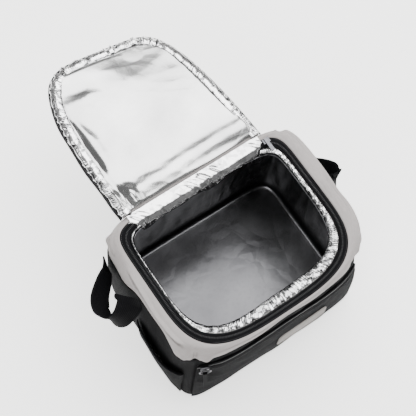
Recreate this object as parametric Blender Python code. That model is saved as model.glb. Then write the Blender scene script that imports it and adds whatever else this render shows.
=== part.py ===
# Lunch tote bag: a soft, padded, insulated bag that stands open, with its lid laid back.
# Metres, +Z up, +X to the bag's right and -Y to its front.
# The origin is on the floor, under the middle of the bag's base.
import math

import bmesh
import bpy
import numpy as np

# The padded tub
BASE_WIDTH = 0.287
BASE_DEPTH = 0.219
BODY_WIDTH = 0.297
BODY_DEPTH = 0.219
RIM_HEIGHT = 0.206
SEAM_HEIGHT = 0.165
WALL = 0.0045
BASE_ROUND = 0.006
TOP_LEAN = 0.004
FRONT_SAG = 0.004
SLACK = 0.010

# The seam between the black walls and the grey yoke
SEAM_ARCH_RISE = 0.022
SEAM_ARCH_WIDTH = 0.270
SEAM_CORNER_DROP = 0.004
YOKE_EDGE = 0.0022

# The zipped mouth, a D with round front corners; the shoulders lie between it and the wall's top
SHOULDER_SIDE = 0.0195
SHOULDER_BACK = 0.014
MOUTH_FRONT_POWER = 3.4
MOUTH_BACK_POWER = 9.0
HINGE_WIDTH = 0.208
TAPE_WIDTH = 0.010
TAPE_THICK = 0.0014
BINDING_NARROW = 0.0035
BINDING_WIDE = 0.016
BINDING_RIGHT = 0.3
BINDING_THICK = 0.0016
GATHER = 0.0013
LINER = 0.0012

# The lid, lying back from the hinge
LID_WIDTH = 0.209
LID_LENGTH = 0.220
LID_TAPER = 0.10
LID_SKEW = 0.014
LID_TILT = 0.07
LID_THICK = 0.006
LID_EDGE = 0.0024
LID_BOW = 0.004
LID_DROOP = 0.022
LID_LEFT_POWER = 4.0
LID_RIGHT_POWER = 7.0
LID_BINDING_WIDTH = 0.013
LID_TAPE_DROP = 0.010
LID_ROUND = 41
LID_HINGE = 9
LID_RINGS = (0.45, 0.80)

# Webbing handles on the side walls
WEBBING_WIDTH = 0.035
WEBBING_THICK = 0.0022
HANDLE_REACH = 0.040
HANDLE_SPAN = 0.077
HANDLE_BACK = 0.084
RIGHT_BACK = 0.067
HANDLE_HEIGHT = 0.152
RIGHT_REACH = 0.022
RIGHT_SPAN = 0.063
RIGHT_DELAY = 3.0

# Pockets and their trim
SIDE_POCKET_LENGTH = 0.092
SIDE_POCKET_HEIGHT = 0.112
SIDE_POCKET_MIDDLE = -0.042
SIDE_POCKET_BULGE = 0.009
CLOTH = 0.002
POCKET_WIDTH = 0.254
POCKET_LOW = 0.010
POCKET_BULGE = 0.003
ZIP_WIDTH = 0.009
ZIP_THICK = 0.0018
PATCH_WIDTH = 0.074
PATCH_HEIGHT = 0.048
PATCH_X = 0.028
PATCH_Z = 0.090
PATCH_THICK = 0.0012
SLIDER_LENGTH = 0.011
SLIDER_WIDTH = 0.008
SLIDER_THICK = 0.0036
PULL_LENGTH = 0.020
PULL_WIDTH = 0.005
PULL_THICK = 0.0014
RING_RADIUS = 0.0075
RING_WIRE = 0.0008
RING_DROP = 0.0041
STRAP_LENGTH = 0.036
STRAP_WIDTH = 0.005
STRAP_THICK = 0.0014
STRAP_TUCK = 0.002
SLIDER_IN = 0.0076

# Clearances: between two pieces that touch, between a panel and the wall it is sewn to,
# between a slider and its tape, and between the webbing and the wall
GAP = 0.0003
SEAT = 0.0005
SLIDER_SEAT = 0.0008
WEBBING_SEAT = 0.0009

# How finely the soft forms are cut into faces
STATION_COUNT = 72
STATION_POWER = 2.8
PANEL_MARGIN = 0.002

# Heights of the wall's rows as shares of the seam's height; the front pocket ends at the last but one.
# The wall's inside and the lining share a coarser set, so that they bend alike.
WALL_SHARES = (0.25, 0.45, 0.65, 0.83, 1.00)
INSIDE_SHARES = (0.42, 0.83, 1.00)

# The wall's profile: height as a share of RIM_HEIGHT, belly as a share of the way
# from the base's size to the body's, and how square the front and back corners are.
WALL_ROWS = [
    {"height": 0.00, "belly": 0.00, "front": 10.0, "back": 8.5},
    {"height": 0.20, "belly": 0.55, "front": 8.0, "back": 8.0},
    {"height": 0.45, "belly": 1.00, "front": 5.6, "back": 7.5},
    {"height": 0.70, "belly": 1.00, "front": 4.0, "back": 8.0},
    {"height": 0.85, "belly": 0.90, "front": 3.6, "back": 9.0},
    {"height": 1.00, "belly": 0.60, "front": 3.5, "back": 9.0},
]

# The yoke's profile: rise from the seam to the rim, and the way inward to the mouth.
YOKE_ROWS = [
    {"rise": 0.00, "inward": 0.00},
    {"rise": 0.45, "inward": 0.03},
    {"rise": 0.76, "inward": 0.15},
    {"rise": 0.93, "inward": 0.38},
    {"rise": 1.00, "inward": 0.70},
    {"rise": 1.00, "inward": 1.00},
]

# The lining's way from the seam up under the yoke to the mouth.
LINER_ROWS = [
    {"rise": 0.45, "inward": 0.08},
    {"rise": 0.82, "inward": 0.40},
    {"rise": 1.00, "inward": 1.00},
]

# Dents and bulges of the walls. along and reach are shares of the side's half length,
# height and spread are shares of RIM_HEIGHT, push is a share of SLACK, outward positive.
DENT_ROWS = [
    {"side": "left", "along": -0.08, "reach": 0.42, "height": 0.80, "spread": 0.16, "push": -1.05},
    {"side": "left", "along": 0.80, "reach": 0.36, "height": 0.98, "spread": 0.26, "push": -0.80},
    {"side": "left", "along": -0.72, "reach": 0.14, "height": 0.78, "spread": 0.14, "push": 0.35},
    {"side": "right", "along": 0.40, "reach": 0.60, "height": 0.90, "spread": 0.22, "push": 0.80},
    {"side": "right", "along": -0.50, "reach": 0.32, "height": 0.92, "spread": 0.16, "push": 0.55},
    {"side": "right", "along": -0.45, "reach": 0.20, "height": 0.55, "spread": 0.30, "push": -0.25},
    {"side": "front", "along": 0.10, "reach": 0.60, "height": 0.40, "spread": 0.40, "push": 0.30},
    {"side": "front", "along": -0.78, "reach": 0.12, "height": 0.62, "spread": 0.18, "push": -0.30},
    {"side": "back", "along": -0.30, "reach": 0.45, "height": 0.45, "spread": 0.35, "push": 0.30},
    {"side": "back", "along": 0.45, "reach": 0.25, "height": 0.60, "spread": 0.30, "push": -0.25},
]

# A handle's route from its back end to its front end. out is a share of its reach,
# along a share of its span forward of its back end, rise a share of WEBBING_WIDTH.
# to_out, to_front and to_up point across the webbing, from its upper edge to its lower one.
HANDLE_ROWS = [
    {"out": 0.00, "along": 0.00, "rise": 0.00, "to_out": 0.00, "to_front": 0.10, "to_up": -1.00},
    {"out": 0.10, "along": 0.14, "rise": 0.00, "to_out": -0.10, "to_front": 0.20, "to_up": -1.00},
    {"out": 0.42, "along": 0.30, "rise": -0.03, "to_out": -0.40, "to_front": 0.35, "to_up": -0.85},
    {"out": 0.80, "along": 0.50, "rise": -0.10, "to_out": -0.50, "to_front": 0.48, "to_up": -0.72},
    {"out": 1.00, "along": 0.70, "rise": -0.18, "to_out": -0.12, "to_front": 0.66, "to_up": -0.76},
    {"out": 0.95, "along": 0.86, "rise": -0.20, "to_out": 0.42, "to_front": 0.62, "to_up": -0.62},
    {"out": 0.66, "along": 0.88, "rise": -0.06, "to_out": 0.34, "to_front": 0.82, "to_up": -0.42},
    {"out": 0.34, "along": 0.80, "rise": 0.14, "to_out": 0.05, "to_front": 0.98, "to_up": -0.12},
    {"out": 0.00, "along": 0.76, "rise": 0.24, "to_out": 0.00, "to_front": 1.00, "to_up": 0.00},
]


def clear_objects():
    for old in list(bpy.data.objects):
        bpy.data.objects.remove(old, do_unlink=True)


def make_material(name, colour, roughness, metallic=0.0):
    material = bpy.data.materials.new(name)
    material.use_nodes = True
    shader = material.node_tree.nodes["Principled BSDF"]
    shader.inputs["Base Color"].default_value = (*colour, 1.0)
    shader.inputs["Roughness"].default_value = roughness
    shader.inputs["Metallic"].default_value = metallic
    material.diffuse_color = (*colour, 1.0)
    return material


def split_quads(points, faces):
    """Four-sided faces cut along the diagonal that lies further out, so that layers bend alike."""
    cut = []
    for face in faces:
        if len(face) != 4:
            cut.append(face)
            continue
        a, b, c, d = face
        first = np.hypot(*(points[a][:2] + points[c][:2]))
        second = np.hypot(*(points[b][:2] + points[d][:2]))
        cut += [(a, b, c), (a, c, d)] if first > second else [(a, b, d), (b, c, d)]
    return cut


def add_object(name, points, faces, material):
    """One closed mesh with its faces turned outward."""
    points = np.asarray(points)
    mesh = bpy.data.meshes.new(name)
    mesh.from_pydata([tuple(point) for point in points], [], split_quads(points, faces))
    work = bmesh.new()
    work.from_mesh(mesh)
    bmesh.ops.recalc_face_normals(work, faces=work.faces)
    work.to_mesh(mesh)
    work.free()
    mesh.shade_smooth()
    mesh.set_sharp_from_angle(angle=math.radians(40))
    mesh.materials.append(material)
    made = bpy.data.objects.new(name, mesh)
    bpy.context.scene.collection.objects.link(made)
    return made


def grid_faces(rows, columns, wrap_rows, wrap_columns):
    """Quads over a grid of points, joined end to end where it wraps."""
    last_row = rows if wrap_rows else rows - 1
    last_column = columns if wrap_columns else columns - 1
    faces = []
    for row in range(last_row):
        for column in range(last_column):
            below = (row + 1) % rows
            beside = (column + 1) % columns
            faces.append(
                (
                    row * columns + column,
                    row * columns + beside,
                    below * columns + beside,
                    below * columns + column,
                )
            )
    return faces


def add_tub(name, loops, material):
    """Closed loops joined in turn, the first and the last one filled by a fan from its middle."""
    grid = np.array(loops)
    rows, columns = grid.shape[:2]
    points = np.vstack([grid.reshape(-1, 3), grid[0].mean(axis=0), grid[-1].mean(axis=0)])
    faces = grid_faces(rows, columns, False, True)
    for row, middle in ((0, rows * columns), (rows - 1, rows * columns + 1)):
        for column in range(columns):
            beside = (column + 1) % columns
            faces.append((row * columns + column, row * columns + beside, middle))
    return add_object(name, points, faces, material)


def add_ring(name, loops, material):
    """Closed loops joined in turn, and the last one back to the first."""
    grid = np.array(loops)
    rows, columns = grid.shape[:2]
    return add_object(name, grid.reshape(-1, 3), grid_faces(rows, columns, True, True), material)


def add_band(name, runs, material):
    """Open runs joined in turn into a closed section, both ends filled."""
    grid = np.array(runs)
    rows, columns = grid.shape[:2]
    faces = grid_faces(rows, columns, True, False)
    faces.append(tuple(row * columns for row in range(rows)))
    faces.append(tuple(row * columns + columns - 1 for row in range(rows)))
    return add_object(name, grid.reshape(-1, 3), faces, material)


def add_panel(name, outer, inner, material):
    """Two open grids of points, one behind the other, closed round their border."""
    outer = np.array(outer)
    rows, columns = outer.shape[:2]
    count = rows * columns
    points = np.vstack([outer.reshape(-1, 3), np.array(inner).reshape(-1, 3)])
    front = grid_faces(rows, columns, False, False)
    faces = front + [tuple(count + index for index in reversed(face)) for face in front]
    border = [column for column in range(columns)]
    border += [row * columns + columns - 1 for row in range(1, rows)]
    border += [(rows - 1) * columns + column for column in range(columns - 2, -1, -1)]
    border += [row * columns for row in range(rows - 2, 0, -1)]
    for here, there in zip(border, border[1:] + border[:1]):
        faces.append((here, there, there + count, here + count))
    return add_object(name, points, faces, material)


def column_of(rows, key):
    return np.array([row[key] for row in rows])


def signed_power(value, power):
    return np.sign(value) * np.abs(value) ** power


def corner_stations():
    """Angles round the bag, closer together at its corners."""
    turn = np.arange(STATION_COUNT) * 2.0 * math.pi / STATION_COUNT
    x = BODY_WIDTH * signed_power(np.cos(turn), 2.0 / STATION_POWER)
    y = BODY_DEPTH * signed_power(np.sin(turn), 2.0 / STATION_POWER)
    return np.arctan2(y, x)


def outline(angles, width, depth, power):
    """A rounded rectangle, |x/a|^p + |y/b|^p = 1, read by angle."""
    across = np.abs(np.cos(angles) / (width / 2.0)) ** power
    along = np.abs(np.sin(angles) / (depth / 2.0)) ** power
    radius = (across + along) ** (-1.0 / power)
    return np.column_stack([radius * np.cos(angles), radius * np.sin(angles)])


def wall_size(angles, height):
    """Width, depth and squareness of the wall's outline at a height."""
    share = np.asarray(height) / RIM_HEIGHT
    heights = column_of(WALL_ROWS, "height")
    belly = np.interp(share, heights, column_of(WALL_ROWS, "belly"))
    front = np.interp(share, heights, column_of(WALL_ROWS, "front"))
    back = np.interp(share, heights, column_of(WALL_ROWS, "back"))
    width = BASE_WIDTH + (BODY_WIDTH - BASE_WIDTH) * belly
    depth = BASE_DEPTH + (BODY_DEPTH - BASE_DEPTH) * belly
    return width, depth, np.where(np.sin(angles) < 0.0, front, back)


def dents(xy, height, width, depth):
    """Sideways push of the wall at each point: a round bump for each row of the table."""
    across = xy[:, 0] / (width / 2.0)
    along = xy[:, 1] / (depth / 2.0)
    sides = {
        "left": (-across, along, (-1.0, 0.0)),
        "right": (across, along, (1.0, 0.0)),
        "front": (-along, across, (0.0, -1.0)),
        "back": (along, across, (0.0, 1.0)),
    }
    push = np.zeros_like(xy)
    for row in DENT_ROWS:
        facing, place, normal = sides[row["side"]]
        on_side = np.clip((facing - 0.78) / 0.18, 0.0, 1.0)
        beside = (place - row["along"]) / row["reach"]
        above = (np.asarray(height) / RIM_HEIGHT - row["height"]) / row["spread"]
        bump = row["push"] * SLACK * np.exp(-(beside**4) - above**2) * on_side
        push += bump[:, None] * np.array(normal)
    return push


def wall(angles, height, inset=0.0):
    """Points of the wall at a height, moved inward by an inset."""
    height = np.broadcast_to(np.asarray(height, dtype=float), angles.shape)
    width, depth, power = wall_size(angles, height)
    base = outline(angles, width, depth, power)
    push = dents(base, height, width, depth)
    xy = outline(angles, width - 2.0 * inset, depth - 2.0 * inset, power) + push
    xy[:, 1] -= TOP_LEAN * (height / RIM_HEIGHT) ** 2
    return np.column_stack([xy, height])


def rim_height(angles):
    """The rim sags at the middle of the front."""
    return RIM_HEIGHT - FRONT_SAG * np.clip(-np.sin(angles), 0.0, 1.0) ** 2


def mouth_size():
    """Width, depth and middle of the mouth, inside the shoulders."""
    width, depth, _ = wall_size(0.0, RIM_HEIGHT)
    return width - 2.0 * SHOULDER_SIDE, depth - SHOULDER_BACK, -SHOULDER_BACK / 2.0


def mouth(angles, inset, drop):
    """Points of the mouth, moved inward by an inset and down by a drop."""
    width, depth, middle = mouth_size()
    power = np.where(np.sin(angles) < 0.0, MOUTH_FRONT_POWER, MOUTH_BACK_POWER)
    xy = outline(angles, width - 2.0 * inset, depth - 2.0 * inset, power)
    xy[:, 1] += middle
    return np.column_stack([xy, rim_height(angles) - drop])


def seam_height(angles):
    """The seam arches up across the front and drops a little at its corners."""
    width, depth, power = wall_size(angles, SEAM_HEIGHT)
    xy = outline(angles, width, depth, power)
    on_front = np.clip((-xy[:, 1] / (depth / 2.0) - 0.75) / 0.15, 0.0, 1.0)
    arch = np.cos(0.5 * math.pi * np.clip(np.abs(xy[:, 0]) / (SEAM_ARCH_WIDTH / 2.0), 0.0, 1.0)) ** 2
    corner = np.exp(-(((np.abs(xy[:, 0]) / width - 0.42) / 0.08) ** 2))
    return SEAM_HEIGHT + on_front * (SEAM_ARCH_RISE * arch - SEAM_CORNER_DROP * corner)


def binding_start():
    """Where the binding begins, inside the tape."""
    return TAPE_WIDTH + 2.0 * GAP


def binding_width(angles):
    """The mouth's binding is rolled open at the front and stands up at the left."""
    front = np.clip(-np.sin(angles), 0.0, 1.0) ** 1.5
    right = BINDING_RIGHT * np.clip(np.cos(angles), 0.0, 1.0)
    return BINDING_NARROW + (BINDING_WIDE - BINDING_NARROW) * np.clip(front + right, 0.0, 1.0)


def shoulder(angles, rise, inward, inset, reach, drop):
    """A point of the way from the seam over the shoulder to the mouth."""
    seam = seam_height(angles)
    height = seam + rise * (rim_height(angles) - seam)
    outside = wall(angles, height, inset)
    inside = mouth(angles, reach, 0.0)
    points = outside + inward * (inside - outside)
    points[:, 2] = height - drop
    return points


def side_x(side, y, z):
    """How far out the side wall stands at a place, side being -1 at the left and 1 at the right."""
    points = wall(STATIONS, z)
    chosen = points[points[:, 0] * side > 0.25 * BASE_WIDTH]
    chosen = chosen[np.argsort(chosen[:, 1])]
    return float(np.interp(y, chosen[:, 1], chosen[:, 0]))


def wall_stretch(side, low, high, height):
    """Angles from one place to another along the left or front wall, at the stations between."""
    points = wall(STATIONS, height)
    axis = 0 if side == "front" else 1
    on_wall = points[:, 1 - axis] < 0.0
    place = points[on_wall, axis]
    angle = np.mod(STATIONS[on_wall], 2.0 * math.pi)
    order = np.argsort(place)
    ends = np.interp((low, high), place[order], angle[order])
    between = angle[(place > low + PANEL_MARGIN) & (place < high - PANEL_MARGIN)]
    return np.sort(np.concatenate([ends, between]))


def wall_panel(name, angles, heights, back, thick, material):
    """A panel lying off the wall; back and thick give its distances along a row of the wall."""
    outer = []
    inner = []
    for height in heights:
        points = wall(angles, height)
        clear = back(angles, points)
        inner.append(wall(angles, height, -clear))
        outer.append(wall(angles, height, -clear - thick(angles, points)))
    return add_panel(name, outer, inner, material)


STATIONS = corner_stations()


def open_stations():
    """The stations from the hinge's left end round the front to its right end."""
    edge = mouth(STATIONS, 0.0, 0.0)
    turned = np.mod(STATIONS - math.pi / 2.0, 2.0 * math.pi)
    order = np.argsort(turned)
    keep = [i for i in order if edge[i, 1] < 0.0 or abs(edge[i, 0]) > HINGE_WIDTH / 2.0]
    return STATIONS[keep]


def build_body(material):
    """A tub of padded cloth: outer rows going up, then inner rows coming down."""
    seam = seam_height(STATIONS) - GAP / 2.0
    corner = (1.0 - math.sqrt(0.5)) * BASE_ROUND
    loops = [
        wall(STATIONS, 0.0, BASE_ROUND),
        wall(STATIONS, corner, corner),
        wall(STATIONS, BASE_ROUND),
    ]
    loops += [wall(STATIONS, share * seam) for share in WALL_SHARES]
    loops += [wall(STATIONS, share * seam, WALL) for share in reversed(INSIDE_SHARES)]
    loops.append(wall(STATIONS, WALL + BASE_ROUND, WALL))
    loops.append(wall(STATIONS, WALL, WALL + BASE_ROUND))
    return add_tub("body_shell", loops, material)


def build_yoke(material):
    """The grey gusset: its outside from the seam to the mouth, then its inside back."""
    loops = []
    for row in YOKE_ROWS:
        loops.append(shoulder(STATIONS, row["rise"], row["inward"], 0.0, 0.0, 0.0))
    for row in reversed(YOKE_ROWS):
        inset = WALL - (WALL - YOKE_EDGE) * row["inward"]
        drop = YOKE_EDGE * row["inward"] + 0.5 * WALL * (1.0 - row["inward"]) * row["rise"]
        loops.append(shoulder(STATIONS, row["rise"], row["inward"], inset, 0.0, drop))
    for loop in (loops[0], loops[-1]):
        loop[:, 2] += GAP / 2.0
    return add_ring("yoke", loops, material)


def build_liner(material):
    """The foil lining, under the yoke and up to the inner edge of the binding."""
    seam = seam_height(STATIONS)
    floor = WALL + SEAT
    outer = WALL + 2.0 * SEAT
    inner = outer + LINER
    reach = binding_start() + binding_width(STATIONS)
    drop = BINDING_THICK + 2.0 * YOKE_EDGE
    outside = [wall(STATIONS, floor, outer + BASE_ROUND), wall(STATIONS, floor + BASE_ROUND, outer)]
    inside = [wall(STATIONS, floor + LINER, inner + BASE_ROUND), wall(STATIONS, floor + BASE_ROUND, inner)]
    for share in INSIDE_SHARES:
        outside.append(wall(STATIONS, share * seam, outer))
        inside.append(wall(STATIONS, share * seam, inner))
    for row in LINER_ROWS:
        rise = row["rise"]
        inward = row["inward"]
        outside.append(shoulder(STATIONS, rise, inward, outer, reach - LINER, drop * rise))
        inside.append(shoulder(STATIONS, rise, inward, inner, reach, (drop + LINER) * rise))
    return add_tub("liner", outside + inside[::-1], material)


def build_mouth_tape(material):
    angles = open_stations()
    crown = 0.4 * TAPE_THICK
    runs = [
        mouth(angles, GAP, 0.0),
        mouth(angles, 0.5 * TAPE_WIDTH, -crown),
        mouth(angles, TAPE_WIDTH, 0.0),
        mouth(angles, TAPE_WIDTH, TAPE_THICK),
        mouth(angles, 0.5 * TAPE_WIDTH, TAPE_THICK - crown),
        mouth(angles, GAP, TAPE_THICK),
    ]
    return add_band("mouth_zip_tape", runs, material)


def build_mouth_binding(material):
    """Gathered foil: the crown of the band goes up and down from station to station."""
    angles = open_stations()
    width = binding_width(angles)
    wave = GATHER * np.where(np.arange(len(angles)) % 2 == 0, 1.0, -1.0)
    section = [
        {"across": 0.00, "lift": 0.0, "wave": 0.0},
        {"across": 0.25, "lift": 1.0, "wave": 0.5},
        {"across": 0.65, "lift": 1.2, "wave": 1.0},
        {"across": 1.00, "lift": -0.8, "wave": 0.3},
        {"across": 0.92, "lift": -1.6, "wave": 0.3},
        {"across": 0.60, "lift": 0.1, "wave": 1.0},
        {"across": 0.25, "lift": -0.2, "wave": 0.5},
        {"across": 0.00, "lift": -1.0, "wave": 0.0},
    ]
    runs = []
    for row in section:
        run = mouth(angles, binding_start() + row["across"] * width, 0.0)
        run[:, 2] += row["lift"] * BINDING_THICK + row["wave"] * wave
        runs.append(run)
    return add_band("mouth_binding", runs, material)


def hinge_place():
    """The lid's hinge line: behind the yoke's back at the height of the lid's padding."""
    lid_top = RIM_HEIGHT + GAP
    back = []
    for row in YOKE_ROWS:
        points = shoulder(STATIONS, row["rise"], row["inward"], 0.0, 0.0, 0.0)
        near = points[points[:, 1] > 0.25 * BASE_DEPTH]
        if near[:, 2].max() > lid_top - LID_THICK - GAP:
            back.append(near[:, 1].max())
    return max(back) + GAP, lid_top


def lid_outline(count_round, count_hinge, outset=0.0):
    """Flat outline of the lid: a round U from its right hinge end to its left, s behind the hinge."""
    turn = np.linspace(0.0, math.pi, count_round)
    power = np.where(np.cos(turn) > 0.0, LID_RIGHT_POWER, LID_LEFT_POWER)
    half = LID_WIDTH / 2.0 + outset
    length = LID_LENGTH + outset
    across = np.abs(np.cos(turn) / half) ** power
    along = np.abs(np.sin(turn) / length) ** power
    radius = (across + along) ** (-1.0 / power)
    x = radius * np.cos(turn)
    s = radius * np.sin(turn)
    if count_hinge:
        x = np.concatenate([x, np.linspace(-half, half, count_hinge + 2)[1:-1]])
        s = np.concatenate([s, np.zeros(count_hinge)])
    return x, s


def lid_point(x, s, lift):
    """Place on the lid: tapered, skewed and drooping towards its far right corner."""
    hinge_y, top = hinge_place()
    far = s / LID_LENGTH
    half = LID_WIDTH / 2.0
    right = 0.5 + 0.5 * x / half
    width = 1.0 - LID_TAPER * far**2
    bow = LID_BOW * np.sin(math.pi * np.clip(far, 0.0, 1.0))
    z = top + bow - LID_DROOP * far**2 * right + lift
    y = hinge_y + s * (1.0 - LID_TILT * (right - 0.5) * far)
    return np.column_stack([x * width - LID_SKEW * far, y, z])


def lid_loop(scale, lift, outset=0.0, hinge_inset=0.0):
    """The lid's outline drawn in towards its middle."""
    x, s = lid_outline(LID_ROUND, LID_HINGE, outset)
    middle = LID_LENGTH / 2.0
    s = np.maximum(s, hinge_inset)
    return lid_point(x * scale, middle + (s - middle) * scale, lift)


def build_lid_cover(material):
    inner = 1.0 - 2.0 * LID_EDGE / LID_WIDTH
    rings = (*LID_RINGS, inner)
    loops = [lid_loop(ring, -LID_THICK) for ring in rings]
    loops += [lid_loop(1.0, LID_EDGE - LID_THICK), lid_loop(1.0, -0.3 * LID_EDGE)]
    loops += [lid_loop(ring, 0.0) for ring in reversed(rings)]
    return add_tub("lid_cover", loops, material)


def build_lid_foil(material):
    rings = (*LID_RINGS, 1.0 - 2.0 * LID_EDGE / LID_WIDTH)
    loops = [lid_loop(ring, GAP) for ring in rings]
    loops += [lid_loop(ring, GAP + LINER) for ring in reversed(rings)]
    return add_tub("lid_foil", loops, material)


def lid_run(inset, lift):
    """A run round the lid's free edge, at an inset from it."""
    x, s = lid_outline(LID_ROUND, 0, -inset)
    return lid_point(x, s, lift)


def build_lid_binding(material):
    """Gathered foil along the lid's edge, lying on the foil face."""
    seat = 2.0 * GAP + LINER
    wave = GATHER * np.where(np.arange(LID_ROUND) % 2 == 0, 1.0, -1.0)
    section = [
        {"inset": -0.10, "lift": 0.00, "wave": 0.0},
        {"inset": -0.06, "lift": 1.00, "wave": 0.2},
        {"inset": 0.35, "lift": 1.90, "wave": 0.7},
        {"inset": 1.00, "lift": 1.60, "wave": 0.6},
        {"inset": 1.00, "lift": 0.60, "wave": 0.6},
        {"inset": 0.35, "lift": 0.90, "wave": 0.5},
    ]
    runs = []
    for row in section:
        run = lid_run(row["inset"] * LID_BINDING_WIDTH, seat + row["lift"] * BINDING_THICK)
        run[:, 2] += row["wave"] * (wave + GATHER)
        runs.append(run)
    return add_band("lid_binding", runs, material)


def build_lid_tape(material):
    """Zip tape along the lid's edge, hanging down now that the lid is turned over, clear of the yoke."""
    along = lid_outline(LID_ROUND, 0, GAP)[1]
    drop = LID_THICK + (LID_TAPE_DROP - LID_THICK) * np.clip(along / (2.0 * LID_TAPE_DROP), 0.0, 1.0)
    runs = [
        lid_run(-GAP, LINER),
        lid_run(-GAP - TAPE_THICK, LINER),
        lid_run(-GAP - 2.0 * TAPE_THICK, -drop),
        lid_run(-GAP - TAPE_THICK, -drop),
    ]
    return add_band("lid_zip_tape", runs, material)


def build_hinge_foil(material):
    """The foil flap over the hinge, between the ends of the tape and the binding."""
    hinge_y, top = hinge_place()
    end = open_stations()[:1]
    depth, middle = mouth_size()[1:]
    back = middle + depth / 2.0
    start = back - binding_start() - BINDING_NARROW
    shares = np.linspace(-1.0, 1.0, 25)
    wave = GATHER * np.where(np.arange(len(shares)) % 2 == 0, 1.0, 0.0)
    rows = [
        {"y": start - LINER, "z": RIM_HEIGHT - 2.2 * YOKE_EDGE, "wave": 0.4},
        {"y": start + 0.25 * (back - start), "z": RIM_HEIGHT + GAP, "wave": 1.0},
        {"y": back, "z": RIM_HEIGHT + 2.0 * GAP, "wave": 0.7},
        {"y": hinge_y - GAP, "z": top + GAP, "wave": 0.0},
    ]
    lower = []
    upper = []
    for row in rows:
        tape_end = abs(mouth(end, max(back - row["y"], 0.0), 0.0)[0, 0])
        x = shares * (min(tape_end, HINGE_WIDTH / 2.0 - 2.0 * TAPE_THICK) - SEAT)
        z = row["z"] + row["wave"] * wave
        lower.append(np.column_stack([x, np.full(len(x), row["y"]), z]))
        upper.append(np.column_stack([x, np.full(len(x), row["y"]), z + LINER]))
    return add_panel("hinge_foil", upper, lower, material)


def smooth_rows(rows, keys, count):
    """A table's columns read along a smooth curve through its rows."""
    table = np.array([[row[key] for key in keys] for row in rows])
    place = np.linspace(0.0, len(rows) - 1.0, count)
    before = np.clip(np.floor(place).astype(int), 0, len(rows) - 2)
    part = (place - before)[:, None]
    p0 = table[np.maximum(before - 1, 0)]
    p1 = table[before]
    p2 = table[before + 1]
    p3 = table[np.minimum(before + 2, len(rows) - 1)]
    return 0.5 * (
        2.0 * p1
        + (p2 - p0) * part
        + (2.0 * p0 - 5.0 * p1 + 4.0 * p2 - p3) * part**2
        + (3.0 * p1 - p0 - 3.0 * p2 + p3) * part**3
    )


def build_handle(name, side, back, reach, span, delay, material):
    """Webbing sewn to the side wall: a ribbon that twists as it loops out, later for more delay."""
    keys = ("out", "along", "rise", "to_out", "to_front", "to_up")
    read = smooth_rows(HANDLE_ROWS, keys, 21)
    share = np.clip(read[:, 0], 0.0, 1.0)
    y = back - read[:, 1] * span
    z = HANDLE_HEIGHT + read[:, 2] * WEBBING_WIDTH
    seat = np.array([side_x(side, *place) for place in zip(y, z)])
    centre = np.column_stack([seat + side * reach * share**delay, y, z])
    lean = read[:, 3] * (reach / HANDLE_REACH) * share ** (delay - 1.0)
    across = np.column_stack([side * lean, -read[:, 4], read[:, 5]])
    tangent = np.gradient(centre, axis=0)
    tangent /= np.linalg.norm(tangent, axis=1)[:, None]
    across -= np.sum(across * tangent, axis=1)[:, None] * tangent
    across /= np.linalg.norm(across, axis=1)[:, None]
    normal = np.cross(tangent, across)
    runs = []
    for wide, deep in ((-1, -1), (0, -1), (1, -1), (1, 1), (0, 1), (-1, 1)):
        offset = wide * WEBBING_WIDTH * across + deep * WEBBING_THICK * normal
        runs.append(centre + 0.5 * offset)
    runs = np.array(runs)
    clear = np.array([[side * (x - side_x(side, y, z)) for x, y, z in run] for run in runs])
    runs[:, :, 0] += side * np.maximum(WEBBING_SEAT - clear.min(axis=0), 0.0)
    return add_band(name, runs, material)


def side_pocket_bulge(angles, points):
    """The side pocket's cloth stands off the wall, most of all at the middle of its mouth."""
    along = np.clip((points[:, 1] - SIDE_POCKET_MIDDLE) / SIDE_POCKET_LENGTH, -0.5, 0.5)
    up = points[:, 2] / SIDE_POCKET_HEIGHT
    return SEAT + SIDE_POCKET_BULGE * np.cos(math.pi * along) ** 0.6 * np.sin(0.5 * math.pi * up) ** 0.8


def build_side_pocket(material):
    """An open slip pocket low on the left wall."""
    half = SIDE_POCKET_LENGTH / 2.0
    low = SIDE_POCKET_MIDDLE - half
    angles = wall_stretch("left", low, low + SIDE_POCKET_LENGTH, SIDE_POCKET_HEIGHT)
    heights = np.linspace(BASE_ROUND, SIDE_POCKET_HEIGHT, 7)
    return wall_panel("side_pocket", angles, heights, side_pocket_bulge, lambda *places: CLOTH, material)


def pocket_thickness(angles, points):
    """The front pocket's cloth and how far it puffs out."""
    top = WALL_SHARES[-2] * seam_height(angles)
    across = np.clip(1.0 - (2.0 * points[:, 0] / POCKET_WIDTH) ** 4, 0.0, 1.0)
    up = np.clip((points[:, 2] - POCKET_LOW) / (top - POCKET_LOW), 0.0, 1.0)
    return CLOTH + POCKET_BULGE * across * np.sin(math.pi * up) ** 0.7


def pocket_stretch():
    """Angles of the front wall from corner seam to corner seam, and the seam's height over them."""
    angles = wall_stretch("front", -POCKET_WIDTH / 2.0, POCKET_WIDTH / 2.0, RIM_HEIGHT / 2.0)
    return angles, seam_height(angles) - GAP / 2.0


def build_front_pocket(material):
    angles, seam = pocket_stretch()
    heights = [POCKET_LOW] + [share * seam for share in WALL_SHARES[:-1]]
    return wall_panel("front_pocket", angles, heights, lambda *places: SEAT, pocket_thickness, material)


def build_pocket_zip(material):
    angles, seam = pocket_stretch()
    low = WALL_SHARES[-2] * seam + GAP
    return wall_panel(
        "pocket_zip",
        angles,
        [low, low + ZIP_WIDTH],
        lambda *places: SEAT,
        lambda *places: ZIP_THICK,
        material,
    )


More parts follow.
